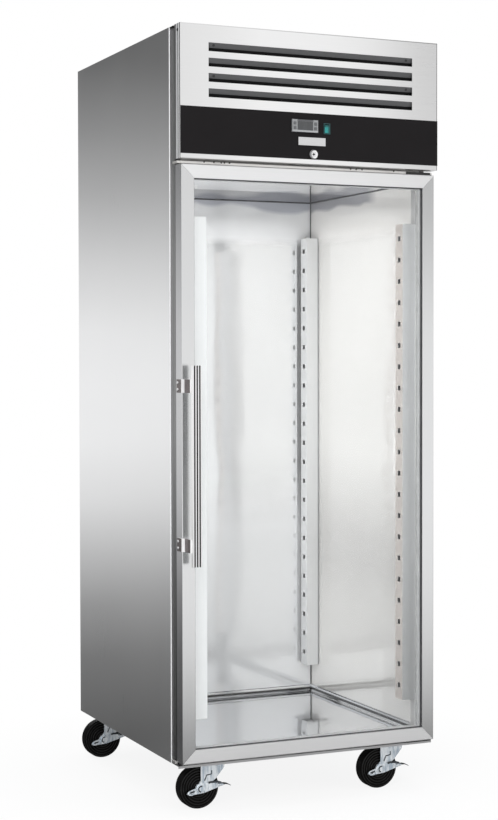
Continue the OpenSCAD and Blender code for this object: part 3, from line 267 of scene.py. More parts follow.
def zinc_plate(name, colour):
    """Bluish zinc plating with small crystals and dull patches."""
    finish, tree, shader = start_finish(name)
    cells = add(tree, "TexVoronoi", {"feature": "F1"}, Vector=own_place(tree), Scale=320.0)
    dull = grain(tree, 46, 3.0, 0.6)
    streaks = grain(tree, (150, 150, 22), 2.0, 0.6)
    crystals = tinted(tree, cells.outputs["Distance"], shade(colour, 1.06), shade(colour, 0.96), 0.1, 0.8)
    bluish = tinted(tree, streaks, (0.62, 0.68, 0.74), (1.12, 1.12, 1.12), 0.36, 0.56)
    fill(tree, shader, Base_Color=multiplied(tree, crystals, bluish), Metallic=0.5,
         Roughness=ranged(tree, dull, 0.16, 0.28))
    bumped(tree, shader, dull, 0.1, 0.5 * MM)
    return finish


def clear_glass(name):
    """Clear pane: see-through, faintly dusty, with a mirror that grows at a slant, alike on both faces."""
    finish, tree, surface = own_finish(name)
    index = 1.14
    inner_face = add(tree, "NewGeometry").outputs["Backfacing"]
    edge = add(tree, "Fresnel", IOR=ranged(tree, inner_face, index, 1 / index))
    dust = grain(tree, 14, 4.0, 0.6)
    clear = add(tree, "BsdfTransparent", Color=(0.998, 1.0, 0.999))
    gloss = add(tree, "BsdfGlossy", Color=(1, 1, 1), Roughness=ranged(tree, dust, 0.01, 0.05))
    join(tree, blended(tree, edge.outputs["Fac"], clear, gloss).outputs["Shader"], surface)
    return finish


def striped_window(name):
    """Dark display window with faint upright stripes behind its gloss."""
    finish, tree, shader = start_finish(name)
    bands = add(tree, "TexWave", {"bands_direction": "X"}, Vector=own_place(tree), Scale=95.0, Distortion=0.6,
                Detail=1.0)
    stripes = tinted(tree, bands.outputs["Fac"], (0.016, 0.017, 0.018), (0.085, 0.087, 0.09), 0.2, 0.8)
    dust = grain(tree, 160, 3.0, 0.6)
    fill(tree, shader, Base_Color=stripes, Roughness=ranged(tree, dust, 0.12, 0.24))
    return finish


def soft_rubber(name, colour, rough, dust=0.4):
    """Rubber with a dusty bloom and a fine matt skin."""
    finish, tree, shader = start_finish(name)
    bloom = grain(tree, 60, 4.0, 0.65)
    skin = grain(tree, 700, 2.0, 0.5)
    fill(tree, shader, Base_Color=varied(tree, bloom, colour, dust),
         Roughness=ranged(tree, bloom, rough - 0.1, rough + 0.1))
    bumped(tree, shader, skin, 0.2, 0.3 * MM)
    return finish


def wheel_rubber(corner):
    """Wheel rubber with moulded rings around its axle, shinier on the ridges."""
    finish = soft_rubber("wheel_rubber_" + corner, (0.004, 0.0038, 0.0036), 0.36)
    tree, shader = reopen(finish)
    lo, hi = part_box(corner + "_wheel")
    axle, ring_pitch = (lo + hi) / 2, 7 * MM
    turns = reckon(tree, "MULTIPLY", from_axis(tree, axle.x, axle.z), 2 * math.pi / ring_pitch)
    rings = ranged(tree, reckon(tree, "SINE", turns), 0, 1, -1, 1)
    fill(tree, shader, Specular_IOR_Level=ranged(tree, rings, 0.05, 0.6, 0.55, 1.0))
    bumped(tree, shader, rings, 0.35, 1.2 * MM)
    return finish


def foam_block(name, colour):
    """Sprayed foam: open cells and uneven yellowing."""
    finish, tree, shader = start_finish(name)
    cells = grain(tree, 420, 3.0, 0.7)
    slow = grain(tree, 12, 3.0, 0.5)
    fill(tree, shader, Base_Color=tinted(tree, slow, shade(colour, 0.85), shade(colour, 1.08)),
         Roughness=ranged(tree, cells, 0.8, 0.95))
    bumped(tree, shader, cells, 0.5, 1 * MM)
    return finish


# Finishes of the pieces

DOOR_LO, DOOR_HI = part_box("door_stiles")
FASCIA_LO, FASCIA_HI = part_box("fascia_panel")
BAR_LO, BAR_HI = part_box("handle_bar")
POST_LO, POST_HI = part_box("frame_posts")
CHAMBER_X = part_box("right_liner")[0].x
HALF_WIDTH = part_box("right_side_panel")[1].x
SILL_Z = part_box("frame_rails")[0].z
FLOOR_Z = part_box("floor_liner")[0].z + 1 * MM
CEILING_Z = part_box("ceiling_liner")[0].z
COVE = 18 * MM
CORNERS = ("front_left", "front_right", "rear_left", "rear_right")

# Painted shade by height on the door bars' fronts: stiles, then rails.
STILE_PAINTED_SHADE = [(0.02, 0.76), (0.09, 0.91), (0.18, 1.0), (0.27, 1.0), (0.5, 0.92), (0.73, 0.87), (0.86, 0.83),
               (0.97, 0.8)]
RAIL_PAINTED_SHADE = [(0.0, 1.0), (0.1, 1.0), (0.9, 0.94), (1.0, 0.94)]
# Painted shade by height: on the back wall, and on the side walls with a painted shadow low down.
BACK_WALL_PAINTED_SHADE = [(0.0, 1.0), (0.35, 1.0), (0.6, 0.955), (1.0, 0.955)]
SIDE_WALL_PAINTED_SHADOW = [(0.0, 1.0), (0.12, 1.0), (0.2, 0.9), (0.28, 0.76), (0.34, 0.76), (0.4, 0.84), (0.5, 0.98)]
# Painted shade by height on the right front upright's front.
UPRIGHT_PAINTED_SHADE = [(0.0, 0.61), (0.15, 0.67), (0.35, 0.8), (0.6, 0.89), (0.8, 0.95)]
# Painted shade by height in the gap between side and door.
GAP_PAINTED_SHADE = [(0.0, 0.06), (0.1, 0.07), (0.25, 0.12), (0.45, 0.36), (0.68, 0.33), (0.82, 0.2)]
# Painted reflections along the floor's coved edges, by height.
COVE_PAINTED_REFLECTION = [(0.0, 1.0), (0.004, 0.55), (0.04, 0.8), (0.22, 0.75), (0.3, 0.1), (0.52, 0.12), (0.62, 0.85),
              (0.86, 1.0), (0.97, 0.5)]
# Painted shade on the fascia across its front and along its top, and the painted light and shade of its side
# folds by depth.
FASCIA_PAINTED_SHADE = [(0.0, 0.88), (0.14, 0.92), (0.3, 1.0), (1.0, 1.0)]
FASCIA_TOP_PAINTED_SHADE = [(0.0, 0.95), (0.3, 0.72), (0.7, 0.55), (1.0, 0.4)]
FASCIA_FOLDS_PAINTED_LIGHT = [(0.0, 0.95), (0.03, 0.0), (0.165, 1.0), (0.3, 0.05), (0.44, 0.62), (0.72, 0.1)]
# Painted light in the rocker's middle and painted shade towards its rim, across and upward.
LENS_PAINTED_LIGHT_ACROSS = [(0.0, 0.6), (0.25, 1.0), (0.5, 1.0), (0.7, 0.3), (1.0, 0.25)]
LENS_PAINTED_LIGHT_UPWARD = [(0.0, 0.4), (0.25, 1.0), (0.6, 1.0), (0.8, 0.35), (1.0, 0.3)]


def satin_back_painted_light(finish, factor, share, jamb_painted_tone=None):
    """Makes the faces turned into the chamber satin, with painted light or shade on them, as the mirror
    liners show them again.
    """
    tree, shader = reopen(finish)
    back = along(tree, "Y", 0.5, 0.8, "Normal")
    # Painted light or shade on the faces turned into the chamber.
    tone_where(tree, shader, back, (factor, factor, factor))
    if jamb_painted_tone:
        inside = reckon(tree, "LESS_THAN", size_of(tree, place(tree, "X")), CHAMBER_X + 1 * MM)
        jamb = both(tree, inside, along(tree, "X", 0.5, 0.8, "Normal", mirrored=True))
        start, end = POST_LO.y + 16 * MM, POST_LO.y + 22 * MM
        by_depth = ranged(tree, place(tree, "Y"), factor, jamb_painted_tone, start, end)
        # Painted light and shade on the jamb faces, changing with depth.
        tone_where(tree, shader, jamb, by_depth)
        back = reckon(tree, "MAXIMUM", back, jamb)
    metal_share(tree, shader, back, share, shader.inputs["Metallic"].default_value)


def door_bar_metal(name, colour, rough, lay, levels, metallic=1.0):
    """Door bar: painted shade on its front that changes with height, and painted shade on the outer edge that
    looks into the side gap.
    """
    finish = brushed_metal(name, colour, rough, lay, streak=0.02, metallic=metallic)
    tree, shader = reopen(finish)
    rise = along(tree, "Z", DOOR_LO.z, DOOR_HI.z)
    facing = along(tree, "Y", -0.6, -0.9, "Normal")
    # Painted shade on the front faces, changing with height.
    tone_where(tree, shader, facing, stepped(tree, rise, levels))
    rim = along(tree, "X", DOOR_HI.x - 0.2 * MM, DOOR_HI.x - 0.05 * MM, mirrored=True)
    # Painted shade on the outer side, in the gap beside the door.
    tone_where(tree, shader, rim, (0.62, 0.62, 0.63))
    # Painted shade and less metal on the faces turned into the chamber.
    satin_back_painted_light(finish, factor=0.75 / colour[0], share=0.45)
    return finish


def folded_fascia_metal(name, colour, rough):
    """Fascia sheet: bright front with painted shade towards its left end, on its right end and along its top,
    and the folded layers of its sides as lines of painted light and shade along the edge.
    """
    finish = brushed_metal(name, colour, rough, "x", streak=0.012, bump=0.02, uneven=0.03)
    tree, shader = reopen(finish)
    depth = along(tree, "Y", FASCIA_LO.y, FASCIA_HI.y)
    across = along(tree, "X", FASCIA_LO.x, FASCIA_HI.x)
    side = along(tree, "X", FASCIA_HI.x - 0.4 * MM, FASCIA_HI.x - 0.1 * MM, mirrored=True)
    right_end = along(tree, "X", FASCIA_HI.x - 3.0 * MM, FASCIA_HI.x - 2.4 * MM)
    top_end = along(tree, "Z", FASCIA_HI.z - 2.8 * MM, FASCIA_HI.z - 2.2 * MM)
    # Painted shade towards the left end, on the right end and along the top edge.
    tone_where(tree, shader, reckon(tree, "SUBTRACT", 1.0, side), stepped(tree, across, FASCIA_PAINTED_SHADE))
    tone_where(tree, shader, reckon(tree, "SUBTRACT", right_end, side), (0.36, 0.36, 0.365))
    tone_where(tree, shader, top_end, stepped(tree, across, FASCIA_TOP_PAINTED_SHADE))
    # The side folds: painted highlights, with painted shade between the layers.
    tone_where(tree, shader, side, stepped(tree, depth, FASCIA_FOLDS_PAINTED_LIGHT, "CONSTANT"))
    metal_share(tree, shader, side, 0.1)
    return finish


def ribbed_bar_metal(name, colour, rough):
    """Handle bar: bright ribs with painted shade in the grooves between them, and painted shade on its back.
    """
    finish = brushed_metal(name, colour, rough, "z", streak=0.02)
    tree, shader = reopen(finish)
    middle, groove_pitch, dark_half, groove_depth = (BAR_LO.x + BAR_HI.x) / 2, 7 * MM, 2.0 * MM, 2.8 * MM
    across = reckon(tree, "SUBTRACT", place(tree, "X"), middle)
    in_groove = reckon(tree, "LESS_THAN", reckon(tree, "PINGPONG", across, groove_pitch / 2), dark_half)
    inside = reckon(tree, "LESS_THAN", size_of(tree, across), groove_pitch + dark_half)
    depth = reckon(tree, "SUBTRACT", place(tree, "Y"), BAR_LO.y)
    grooves = both(tree, in_groove, inside, reckon(tree, "LESS_THAN", depth, groove_depth))
    # Painted shade in the grooves.
    tone_where(tree, shader, grooves, (0.045, 0.035, 0.04))
    back = reckon(tree, "GREATER_THAN", place(tree, "Y"), BAR_HI.y - 0.8 * MM)
    # Painted shade on the back, which the stile shows again.
    tone_where(tree, shader, back, (0.45, 0.45, 0.45))
    return finish


def bracket_metal(name, bright, dark):
    """Bracket strap: bright satin where it faces the front, with painted shade on its sides."""
    finish = brushed_metal(name, bright, 0.24, "z")
    tree, shader = reopen(finish)
    sideways = along(tree, "X", 0.55, 0.85, "Normal", mirrored=True)
    # Painted shade on the sides, which stay bare metal while the front is mostly not metal.
    tone_where(tree, shader, sideways, dark)
    metal_share(tree, shader, sideways, 1.0, 0.1)
    return finish


def rail_metal_of_frame(name):
    """Front rail of the frame: warm satin steel, with painted light on the chamber side."""
    finish = brushed_metal(name, (0.84, 0.825, 0.805), 0.36, "x")
    # Painted light on the faces turned into the chamber.
    satin_back_painted_light(finish, factor=1.16, share=0.1)
    return finish


def post_metal(name):
    """Front post: painted shade in the gap beside the door, darkest at its foot, and steel inside the chamber
    with painted light on its faces and painted light and shade on its jamb.
    """
    finish = brushed_metal(name, (0.78, 0.78, 0.785), 0.36, "z")
    tree, shader = reopen(finish)
    rise = along(tree, "Z", POST_LO.z, POST_HI.z)
    outside = along(tree, "X", CHAMBER_X + 1 * MM, CHAMBER_X + 2 * MM, mirrored=True)
    # Painted shade in the gap beside the door, by height.
    tone_where(tree, shader, outside, stepped(tree, rise, GAP_PAINTED_SHADE))
    # Painted light inside the chamber, with painted light and shade on the jamb.
    satin_back_painted_light(finish, factor=1.2, share=0.1, jamb_painted_tone=0.72)
    return finish


def upright_metal(name):
    """Shelf upright: bright on its front and slotted faces, with painted shade on the rear pair towards the
    wall and along their front edge by the wall, painted shade on the front pair's slotted faces and by height
    on the right front one, and painted light on the front pair's backs.
    """
    bare_share = 0.45
    finish = brushed_metal(name, (0.86, 0.865, 0.87), 0.36, "z", streak=0.02, metallic=bare_share)
    tree, shader = reopen(finish)
    rear = reckon(tree, "GREATER_THAN", place(tree, "Y"), 0.0)
    front = reckon(tree, "SUBTRACT", 1.0, rear)
    on_right = reckon(tree, "GREATER_THAN", place(tree, "X"), 0.0)
    back = along(tree, "Y", 0.4, 0.7, "Normal")
    facing = along(tree, "Y", -0.4, -0.7, "Normal")
    wallward = reckon(tree, "MULTIPLY", place(tree, "X", "Normal"), reckon(tree, "SIGN", place(tree, "X")))
    to_wall = ranged(tree, wallward, 0, 1, 0.4, 0.7)
    slotted = ranged(tree, wallward, 0, 1, -0.4, -0.7)
    # Painted shade on the rear pair's back and wall-side faces, which the back wall shows again.
    tone_where(tree, shader, both(tree, reckon(tree, "MAXIMUM", back, to_wall), rear), (0.1, 0.1, 0.105))
    # Painted shade on the front pair's slotted faces.
    tone_where(tree, shader, both(tree, slotted, front), (0.8, 0.74, 0.7))
    front_back = both(tree, back, front)
    # Painted light on the front pair's backs, which the liners show again.
    tone_where(tree, shader, front_back, (1.12, 1.12, 1.12))
    metal_share(tree, shader, front_back, 0.1, bare_share)
    # Painted shade along the rear pair's front edge next to the wall.
    wall_edge_shade = along(tree, "X", CHAMBER_X - 3.6 * MM, CHAMBER_X - 2.8 * MM, mirrored=True)
    tone_where(tree, shader, both(tree, wall_edge_shade, facing, rear), (0.42, 0.42, 0.43))
    rise = along(tree, "Z", FLOOR_Z, CEILING_Z)
    # Painted shade by height on the right front upright's front.
    tone_where(tree, shader, both(tree, on_right, facing, front), stepped(tree, rise, UPRIGHT_PAINTED_SHADE))
    return finish


def ceiling_metal(name, colour):
    """Ceiling sheet: bright towards the door, with painted shade and a greyer gloss over the back half that
    is out of the light.
    """
    finish = mirror_liner(name, colour, rough=0.07, wave=0.06, metallic=0.97)
    tree, shader = reopen(finish)
    rear = along(tree, "Y", 62 * MM, 74 * MM)
    # Painted shade over the back half.
    tone_where(tree, shader, rear, (0.58, 0.58, 0.59))
    fill(tree, shader, Specular_Tint=tinted(tree, rear, (1, 1, 1), (0.66, 0.66, 0.67), 0.0, 1.0))
    return finish


def wall_metal(name, colour, rough, metallic, low_share, shade_under_ceiling, strip_height, levels):
    """Wall liner: a soft mirror whose metal share and painted shade change with height, with a wavy strip of
    painted shade under the ceiling.
    """
    finish = mirror_liner(name, colour, rough, wave=0.08, metallic=metallic)
    tree, shader = reopen(finish)
    wave = ranged(tree, grain(tree, (8, 8, 3), 0.6, 0.4), -12 * MM, 12 * MM)
    height = reckon(tree, "ADD", place(tree, "Z"), wave)
    strip_z, soft_edge = CEILING_Z - strip_height, 6 * MM
    strip = ranged(tree, height, 0, 1, strip_z - soft_edge, strip_z + soft_edge)
    rearward = along(tree, "Y", -90 * MM, -30 * MM)
    # Painted shade in a wavy strip under the ceiling, towards the back.
    tone_where(tree, shader, both(tree, strip, rearward), shade_under_ceiling)
    rise = along(tree, "Z", FLOOR_Z, CEILING_Z)
    # Painted shade by height.
    tone_where(tree, shader, reckon(tree, "GREATER_THAN", rise, 0.0), stepped(tree, rise, levels))
    shares = [(0.0, low_share), (0.34, low_share), (0.46, metallic), (0.91, metallic), (0.925, 0.15)]
    fill(tree, shader, Metallic=stepped(tree, rise, shares))
    return finish


def coved_floor_metal(name, colour):
    """Chamber floor: a soft mirror, with painted reflections as dark and bright lines along the curve of its
    coved edges.
    """
    finish = mirror_liner(name, colour, rough=0.06, wave=0.06, metallic=0.92)
    tree, shader = reopen(finish)
    rise = along(tree, "Z", FLOOR_Z, FLOOR_Z + COVE)
    # Painted reflections as dark and bright lines up the cove.
    tone_where(tree, shader, reckon(tree, "GREATER_THAN", rise, 0.002), stepped(tree, rise, COVE_PAINTED_REFLECTION))
    return finish


def cover_metal(name, colour):
    """Cover sheet: plain brushed steel outside, with painted shade where it looks down into the machine
    space.
    """
    finish = brushed_metal(name, colour, 0.34, "x")
    tree, shader = reopen(finish)
    under = along(tree, "Z", -0.5, -0.8, "Normal")
    # Painted shade on the underside, with no metal and little gloss.
    tone_where(tree, shader, under, (0.02, 0.02, 0.02))
    metal_share(tree, shader, under, 0.0)
    fill(tree, shader, Specular_IOR_Level=ranged(tree, under, 0.5, 0.02, 0, 1))
    return finish


def folded_side_metal(name):
    """Side sheet, with a painted highlight along the fold at its front edge, made by less metal there."""
    finish = brushed_metal(name, (0.86, 0.865, 0.87), 0.3, "z", streak=0.004, bump=0.004, uneven=0.012)
    tree, shader = reopen(finish)
    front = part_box("left_side_panel")[0].y
    near = along(tree, "Y", front + 2.6 * MM, front + 1.8 * MM)
    outer = along(tree, "X", HALF_WIDTH - 2.2 * MM, HALF_WIDTH - 1.6 * MM, mirrored=True)
    # Painted highlight along the front fold: less metal there.
    metal_share(tree, shader, both(tree, near, outer), 0.4)
    return finish


def glazing_strip(name):
    """Glazing frame: a dark rubber lip in front, and a light spacer between the panes."""
    finish = painted_sheet(name, (0.6, 0.605, 0.61), 0.42, metallic=0.3)
    tree, shader = reopen(finish)
    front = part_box("glazing_seal")[0].y
    tone_where(tree, shader, along(tree, "Y", front + 1.4 * MM, front + 1.0 * MM), (0.12, 0.12, 0.125))
    return finish


def controller_plastic(name, colour):
    """Controller shell: grey, with a lighter lip under the window and painted shade over it."""
    finish = moulded_plastic(name, colour, 0.35)
    tree, shader = reopen(finish)
    lo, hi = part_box("controller_window")
    half_width = (hi.x - lo.x) / 2
    tone_where(tree, shader, along(tree, "Z", lo.z - 0.2 * MM, lo.z - 0.6 * MM), (1.35, 1.35, 1.35))
    over = along(tree, "Z", hi.z + 0.2 * MM, hi.z + 0.6 * MM)
    beside = reckon(tree, "SUBTRACT", place(tree, "X"), (lo.x + hi.x) / 2)
    middle = ranged(tree, size_of(tree, beside), 1, 0, half_width, half_width + 2 * MM)
    # Painted shade over the window.
    tone_where(tree, shader, both(tree, over, middle), (0.3, 0.3, 0.31))
    return finish


def rocker_lens(name, colour):
    """Rocker of clear teal plastic: painted light in the middle, painted shade at its rim and on its right.
    """
    finish = moulded_plastic(name, colour, 0.2, vary=0.2)
    tree, shader = reopen(finish)
    lo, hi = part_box("rocker_switch")
    # Painted light in the middle, painted shade towards the rim and the right.
    for axis, start, end, tones in (("X", lo.x, hi.x, LENS_PAINTED_LIGHT_ACROSS), ("Z", lo.z, hi.z, LENS_PAINTED_LIGHT_UPWARD)):
        way = along(tree, axis, start, end)
        tone_where(tree, shader, way, stepped(tree, way, tones))
    return finish


def lock_metal(name):
    """Lock: bright on its face, with painted shade around its side and in a crescent on its left."""
    finish = brushed_metal(name, (0.9, 0.9, 0.905), 0.14, "y")
    tree, shader = reopen(finish)
    lo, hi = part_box("lock_barrel")
    shift, bright_radius, dark = 3.2 * MM, 9.8 * MM, (0.3, 0.3, 0.305)
    around = along(tree, "Y", 0.6, 0.3, "Normal", mirrored=True)
    reach = from_axis(tree, (lo.x + hi.x) / 2 + shift, (lo.z + hi.z) / 2)
    crescent = ranged(tree, reach, 0, 1, bright_radius, bright_radius + 0.8 * MM)
    # Painted shade on the side and in the crescent.
    for shaded in (around, crescent):
        tone_where(tree, shader, shaded, dark)
    return finish


COVER_GREY = (0.7, 0.705, 0.71)
BY_SLOT = {
    "side_steel": folded_side_metal("side_steel_upright"),
    "foam": foam_block("foam", (0.82, 0.7, 0.42)),
    "liner_steel": wall_metal("liner_wall", (0.94, 0.925, 0.905), 0.06, metallic=0.55, low_share=0.55,
                              shade_under_ceiling=(0.5, 0.51, 0.55), strip_height=34 * MM, levels=SIDE_WALL_PAINTED_SHADOW),
    "frame_dark": post_metal("frame_post_painted_shade"),
    "frame_light": rail_metal_of_frame("frame_rail_light"),
    "upright_steel": upright_metal("upright_steel"),
    "inner_steel": brushed_metal("inner_steel", (0.12, 0.122, 0.125), 0.5, "x", streak=0.04),
    "motor_black": painted_sheet("motor_black", (0.04, 0.04, 0.043), 0.42),
    "heater_metal": painted_sheet("heater_sheath", (0.2, 0.18, 0.17), 0.5, metallic=0.9),
    "tank_plastic": moulded_plastic("tank_plastic", (0.5, 0.51, 0.5), 0.38),
    "box_plastic": moulded_plastic("box_plastic", (0.2, 0.205, 0.21), 0.5),
    "black_plastic": moulded_plastic("black_plastic", (0.02, 0.02, 0.021), 0.45),
    "hinge_metal": painted_sheet("hinge_black", (0.03, 0.03, 0.03), 0.4),
    "zinc": zinc_plate("zinc_plating", (0.84, 0.875, 0.9)),
    "fascia_steel": folded_fascia_metal("fascia_steel_across", (0.9, 0.9, 0.9), 0.3),
    # Louvre blades: the fascia's steel, given a dark grey colour as painted shade.
    "louvre_grey": painted_sheet("louvre_grey", (0.084, 0.084, 0.086), 0.55, worn=0.04, shine=0.25),
    "band_black": moulded_plastic("band_black", (0.0105, 0.0095, 0.01), 0.45, vary=0.05, pebble=500.0,
                                  bump=0.04, shine=0.06),
    "controller_silver": controller_plastic("controller_silver", (0.225, 0.228, 0.232)),
    "window_dark": striped_window("controller_window_dark"),
    "button_grey": moulded_plastic("button_grey", (0.1, 0.102, 0.106), 0.4),
    "rocker_frame": moulded_plastic("rocker_frame", (0.01, 0.05, 0.052), 0.35),
    "rocker_teal": rocker_lens("rocker_teal", (0.012, 0.22, 0.21)),
    "plate_silver": brushed_metal("bare_plate_silver", (0.7, 0.7, 0.705), 0.3, "x", streak=0.05),
    "lock_chrome": lock_metal("lock_chrome"),
    "door_metal": door_bar_metal("door_bar_upright", (0.84, 0.845, 0.85), 0.18, "z", STILE_PAINTED_SHADE),
    "glass": clear_glass("door_glass"),
    "seal_rubber": soft_rubber("seal_rubber", (0.4, 0.4, 0.405), 0.6, dust=0.12),
    "handle_metal": ribbed_bar_metal("handle_satin", (0.93, 0.93, 0.93), 0.28),
    "bracket_dark": bracket_metal("bracket_painted_shade", (0.86, 0.85, 0.85), (0.12, 0.1, 0.1)),
    "screw_steel": brushed_metal("screw_bright", (0.8, 0.8, 0.81), 0.22, "x"),
}
BY_SLOT["pivot_steel"] = BY_SLOT["inner_steel"]
BY_NODE = {
    "top_cover": cover_metal("cover_steel_across", COVER_GREY),
    "base_pan": brushed_metal("pan_steel_across", COVER_GREY, 0.34, "x"),
    "door_rails": door_bar_metal("door_bar_across", (0.89, 0.89, 0.892), 0.48, "x", RAIL_PAINTED_SHADE,
                                 metallic=0.88),
    "back_liner": wall_metal("liner_back", (0.955, 0.96, 0.975), 0.06, metallic=0.66, low_share=0.34,
                             shade_under_ceiling=(0.62, 0.63, 0.68), strip_height=22 * MM, levels=BACK_WALL_PAINTED_SHADE),
    "floor_liner": coved_floor_metal("liner_floor", (0.735, 0.745, 0.765)),
    "ceiling_liner": ceiling_metal("liner_ceiling", (0.93, 0.935, 0.95)),
    "glazing_seal": glazing_strip("glazing_strip"),
    "fan_guard": brushed_metal("guard_wire", (0.86, 0.862, 0.87), 0.3, "x", streak=0.02, metallic=0.6),
}
for corner in CORNERS:
    BY_NODE[corner + "_wheel"] = wheel_rubber(corner)

screw_dark = painted_sheet("screw_dark", (0.02, 0.02, 0.02), 0.4)
# Painted shadow for the strips on the casters.
zinc_shadow = painted_sheet("zinc_painted_shadow", (0.05, 0.055, 0.06), 0.4, metallic=0.5)
# Sealant colour that also serves as painted shade in the chamber's corners.
sealant_and_corner_shade = soft_rubber("sealant_and_corner_shade", (0.1, 0.1, 0.105), 0.55)
# Painted shadow for the lips under the louvre blades.
louvre_lip_shadow = painted_sheet("louvre_lip_shadow", (0.003, 0.003, 0.0032), 0.6, worn=0.04, shine=0.1)
# Painted shade for the key slot.
keyway_painted_shade = painted_sheet("keyway_painted_shade", (0.012, 0.012, 0.012), 0.5)


def finish_of(node):
    return BY_NODE.get(node) or BY_SLOT[SLOT_OF[node]]


for node, piece in NODES.items():
    for holder in piece.material_slots:
        holder.material = finish_of(node)


# Modelling helpers

def object_of(name, bm):
    """An object made of a bmesh, and its mesh."""
    mesh = bpy.data.meshes.new(name)
    bm.to_mesh(mesh)
    bm.free()
    made = bpy.data.objects.new(name, mesh)
    bpy.context.scene.collection.objects.link(made)
    return made, mesh


def set_down(name, bm, body, finish, stands_for=(), crease=50.0):
    """Makes a finished piece of a bmesh and lets it ride on its body."""
    piece, mesh = object_of(name, bm)
    mesh.materials.append(finish)
    mesh.shade_smooth()
    mesh.set_sharp_from_angle(angle=math.radians(crease))
    piece.modifiers.new("even_normals", "WEIGHTED_NORMAL").keep_sharp = True
    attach(piece, body)
    if stands_for:
        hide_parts(*stands_for)


def merged_copy(node):
    """A CAD piece's mesh with its corners merged and its flat faces joined up."""
    bm = bmesh.new()
    bm.from_mesh(NODES[node].data)
    bmesh.ops.remove_doubles(bm, verts=bm.verts[:], dist=0.002 * MM)
    bmesh.ops.dissolve_limit(bm, angle_limit=math.radians(0.4), verts=bm.verts[:], edges=bm.edges[:])
    return bm


def round_edges(bm, edges, width, segments, clamp=False):
    return bmesh.ops.bevel(bm, geom=edges, offset=width, affect="EDGES", segments=segments, profile=0.5,
                           material=-1, clamp_overlap=clamp)


def ease_edges(bm, width, where=None, segments=2):
    """Rounds the sharp edges that lie where asked."""
    sharp = math.radians(30)
    edges = [e for e in bm.edges if len(e.link_faces) == 2 and e.calc_face_angle() > sharp
             and (where is None or where(*(v.co for v in e.verts)))]
    round_edges(bm, edges, width, segments, clamp=True)


def eased(node, width, where=None, segments=2):
    """The CAD piece again with its sharp edges eased, shown instead of it."""
    bm = merged_copy(node)
    ease_edges(bm, width, where, segments)
    set_down(node + "_eased", bm, BODY_OF[node], finish_of(node), [node])


def at_depth(*depths):
    """Tells whether an edge lies wholly at one of these depths."""
    def test(a, b):
        return any(abs(a.y - y) < SAME_PLACE and abs(b.y - y) < SAME_PLACE for y in depths)
    return test


def front_border(lo, hi):
    """Tells whether an edge of the front face runs along one of its outer sides or ends."""
    on_front = at_depth(lo.y)

    def test(a, b):
        side = all(abs(abs(p.x) - hi.x) < SAME_PLACE for p in (a, b))
        end = any(all(abs(p.z - z) < SAME_PLACE for p in (a, b)) for z in (lo.z, hi.z))
        return on_front(a, b) and (side or end)
    return test


def box_between(bm, corner, opposite):
    """A block between two opposite corners."""
    lo, hi = (Vector([pick(pair) for pair in zip(corner, opposite)]) for pick in (min, max))
    verts = bmesh.ops.create_cube(bm, size=1.0)["verts"]
    bmesh.ops.scale(bm, vec=hi - lo, verts=verts)
    bmesh.ops.translate(bm, vec=(hi + lo) / 2, verts=verts)


def draw_out(bm, faces, way):
    """Draws flat faces out into a solid."""
    raised = bmesh.ops.extrude_face_region(bm, geom=faces)["geom"]
    bmesh.ops.translate(bm, vec=way, verts=[v for v in raised if isinstance(v, bmesh.types.BMVert)])
    bmesh.ops.recalc_face_normals(bm, faces=bm.faces[:])


TO_FRONT = Matrix.Rotation(math.radians(90), 4, "X")
TO_LEFT = Matrix.Rotation(math.radians(-90), 4, "Y")


def pan_head(bm, seat, turn, radius, height):
    """A rounded screw head with a sunk round drive, its foot on the seat."""
    top_share, round_share = 0.86, 0.35
    drive_inset, drive_slope, drive_depth = 0.33, 0.06, 0.5
    verts = bmesh.ops.create_cone(bm, cap_ends=True, cap_tris=False, segments=20, radius1=radius,
                                  radius2=radius * top_share, depth=height)["verts"]
    bmesh.ops.translate(bm, vec=(0, 0, height / 2), verts=verts)
    top = max({f for v in verts for f in v.link_faces}, key=lambda f: f.calc_center_median().z)
    ring = round_edges(bm, list(top.edges), height * round_share, 2)
    verts = list({v for v in verts if v.is_valid} | set(ring["verts"]))
    top = max({f for v in verts for f in v.link_faces},
              key=lambda f: (round(f.calc_center_median().z, 7), f.calc_area()))
    before = set(bm.verts)
    bmesh.ops.inset_individual(bm, faces=[top], thickness=radius * drive_inset, depth=0)
    bmesh.ops.inset_individual(bm, faces=[top], thickness=radius * drive_slope, depth=-height * drive_depth)
    verts += [v for v in bm.verts if v not in before]
    bmesh.ops.transform(bm, matrix=Matrix.Translation(seat) @ turn, verts=verts)


# Shell

def folded_side(node):
    """Side skin bent from one sheet, with a rounded fold at its front edge."""
    lo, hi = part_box(node)
    left = lo.x < 0
    outer, inner = (lo.x, hi.x) if left else (hi.x, lo.x)
    inside, behind = outer + (MM if left else -MM), lo.y + MM
    outline = [(outer, hi.y), (outer, lo.y), (inner, lo.y), (inner, behind), (inside, behind), (inside, hi.y)]
    bm = bmesh.new()
    draw_out(bm, [bm.faces.new([bm.verts.new((x, y, lo.z)) for x, y in outline])], (0, 0, hi.z - lo.z))
    for x, y, radius, segments in ((outer, lo.y, 2.6 * MM, 5), (inside, behind, 1.6 * MM, 4)):
        fold = [e for e in bm.edges
                if all(abs(v.co.x - x) < SAME_PLACE and abs(v.co.y - y) < SAME_PLACE for v in e.verts)]
        round_edges(bm, fold, radius, segments)
    set_down(node + "_folded", bm, BODY_OF[node], finish_of(node), [node], crease=40.0)


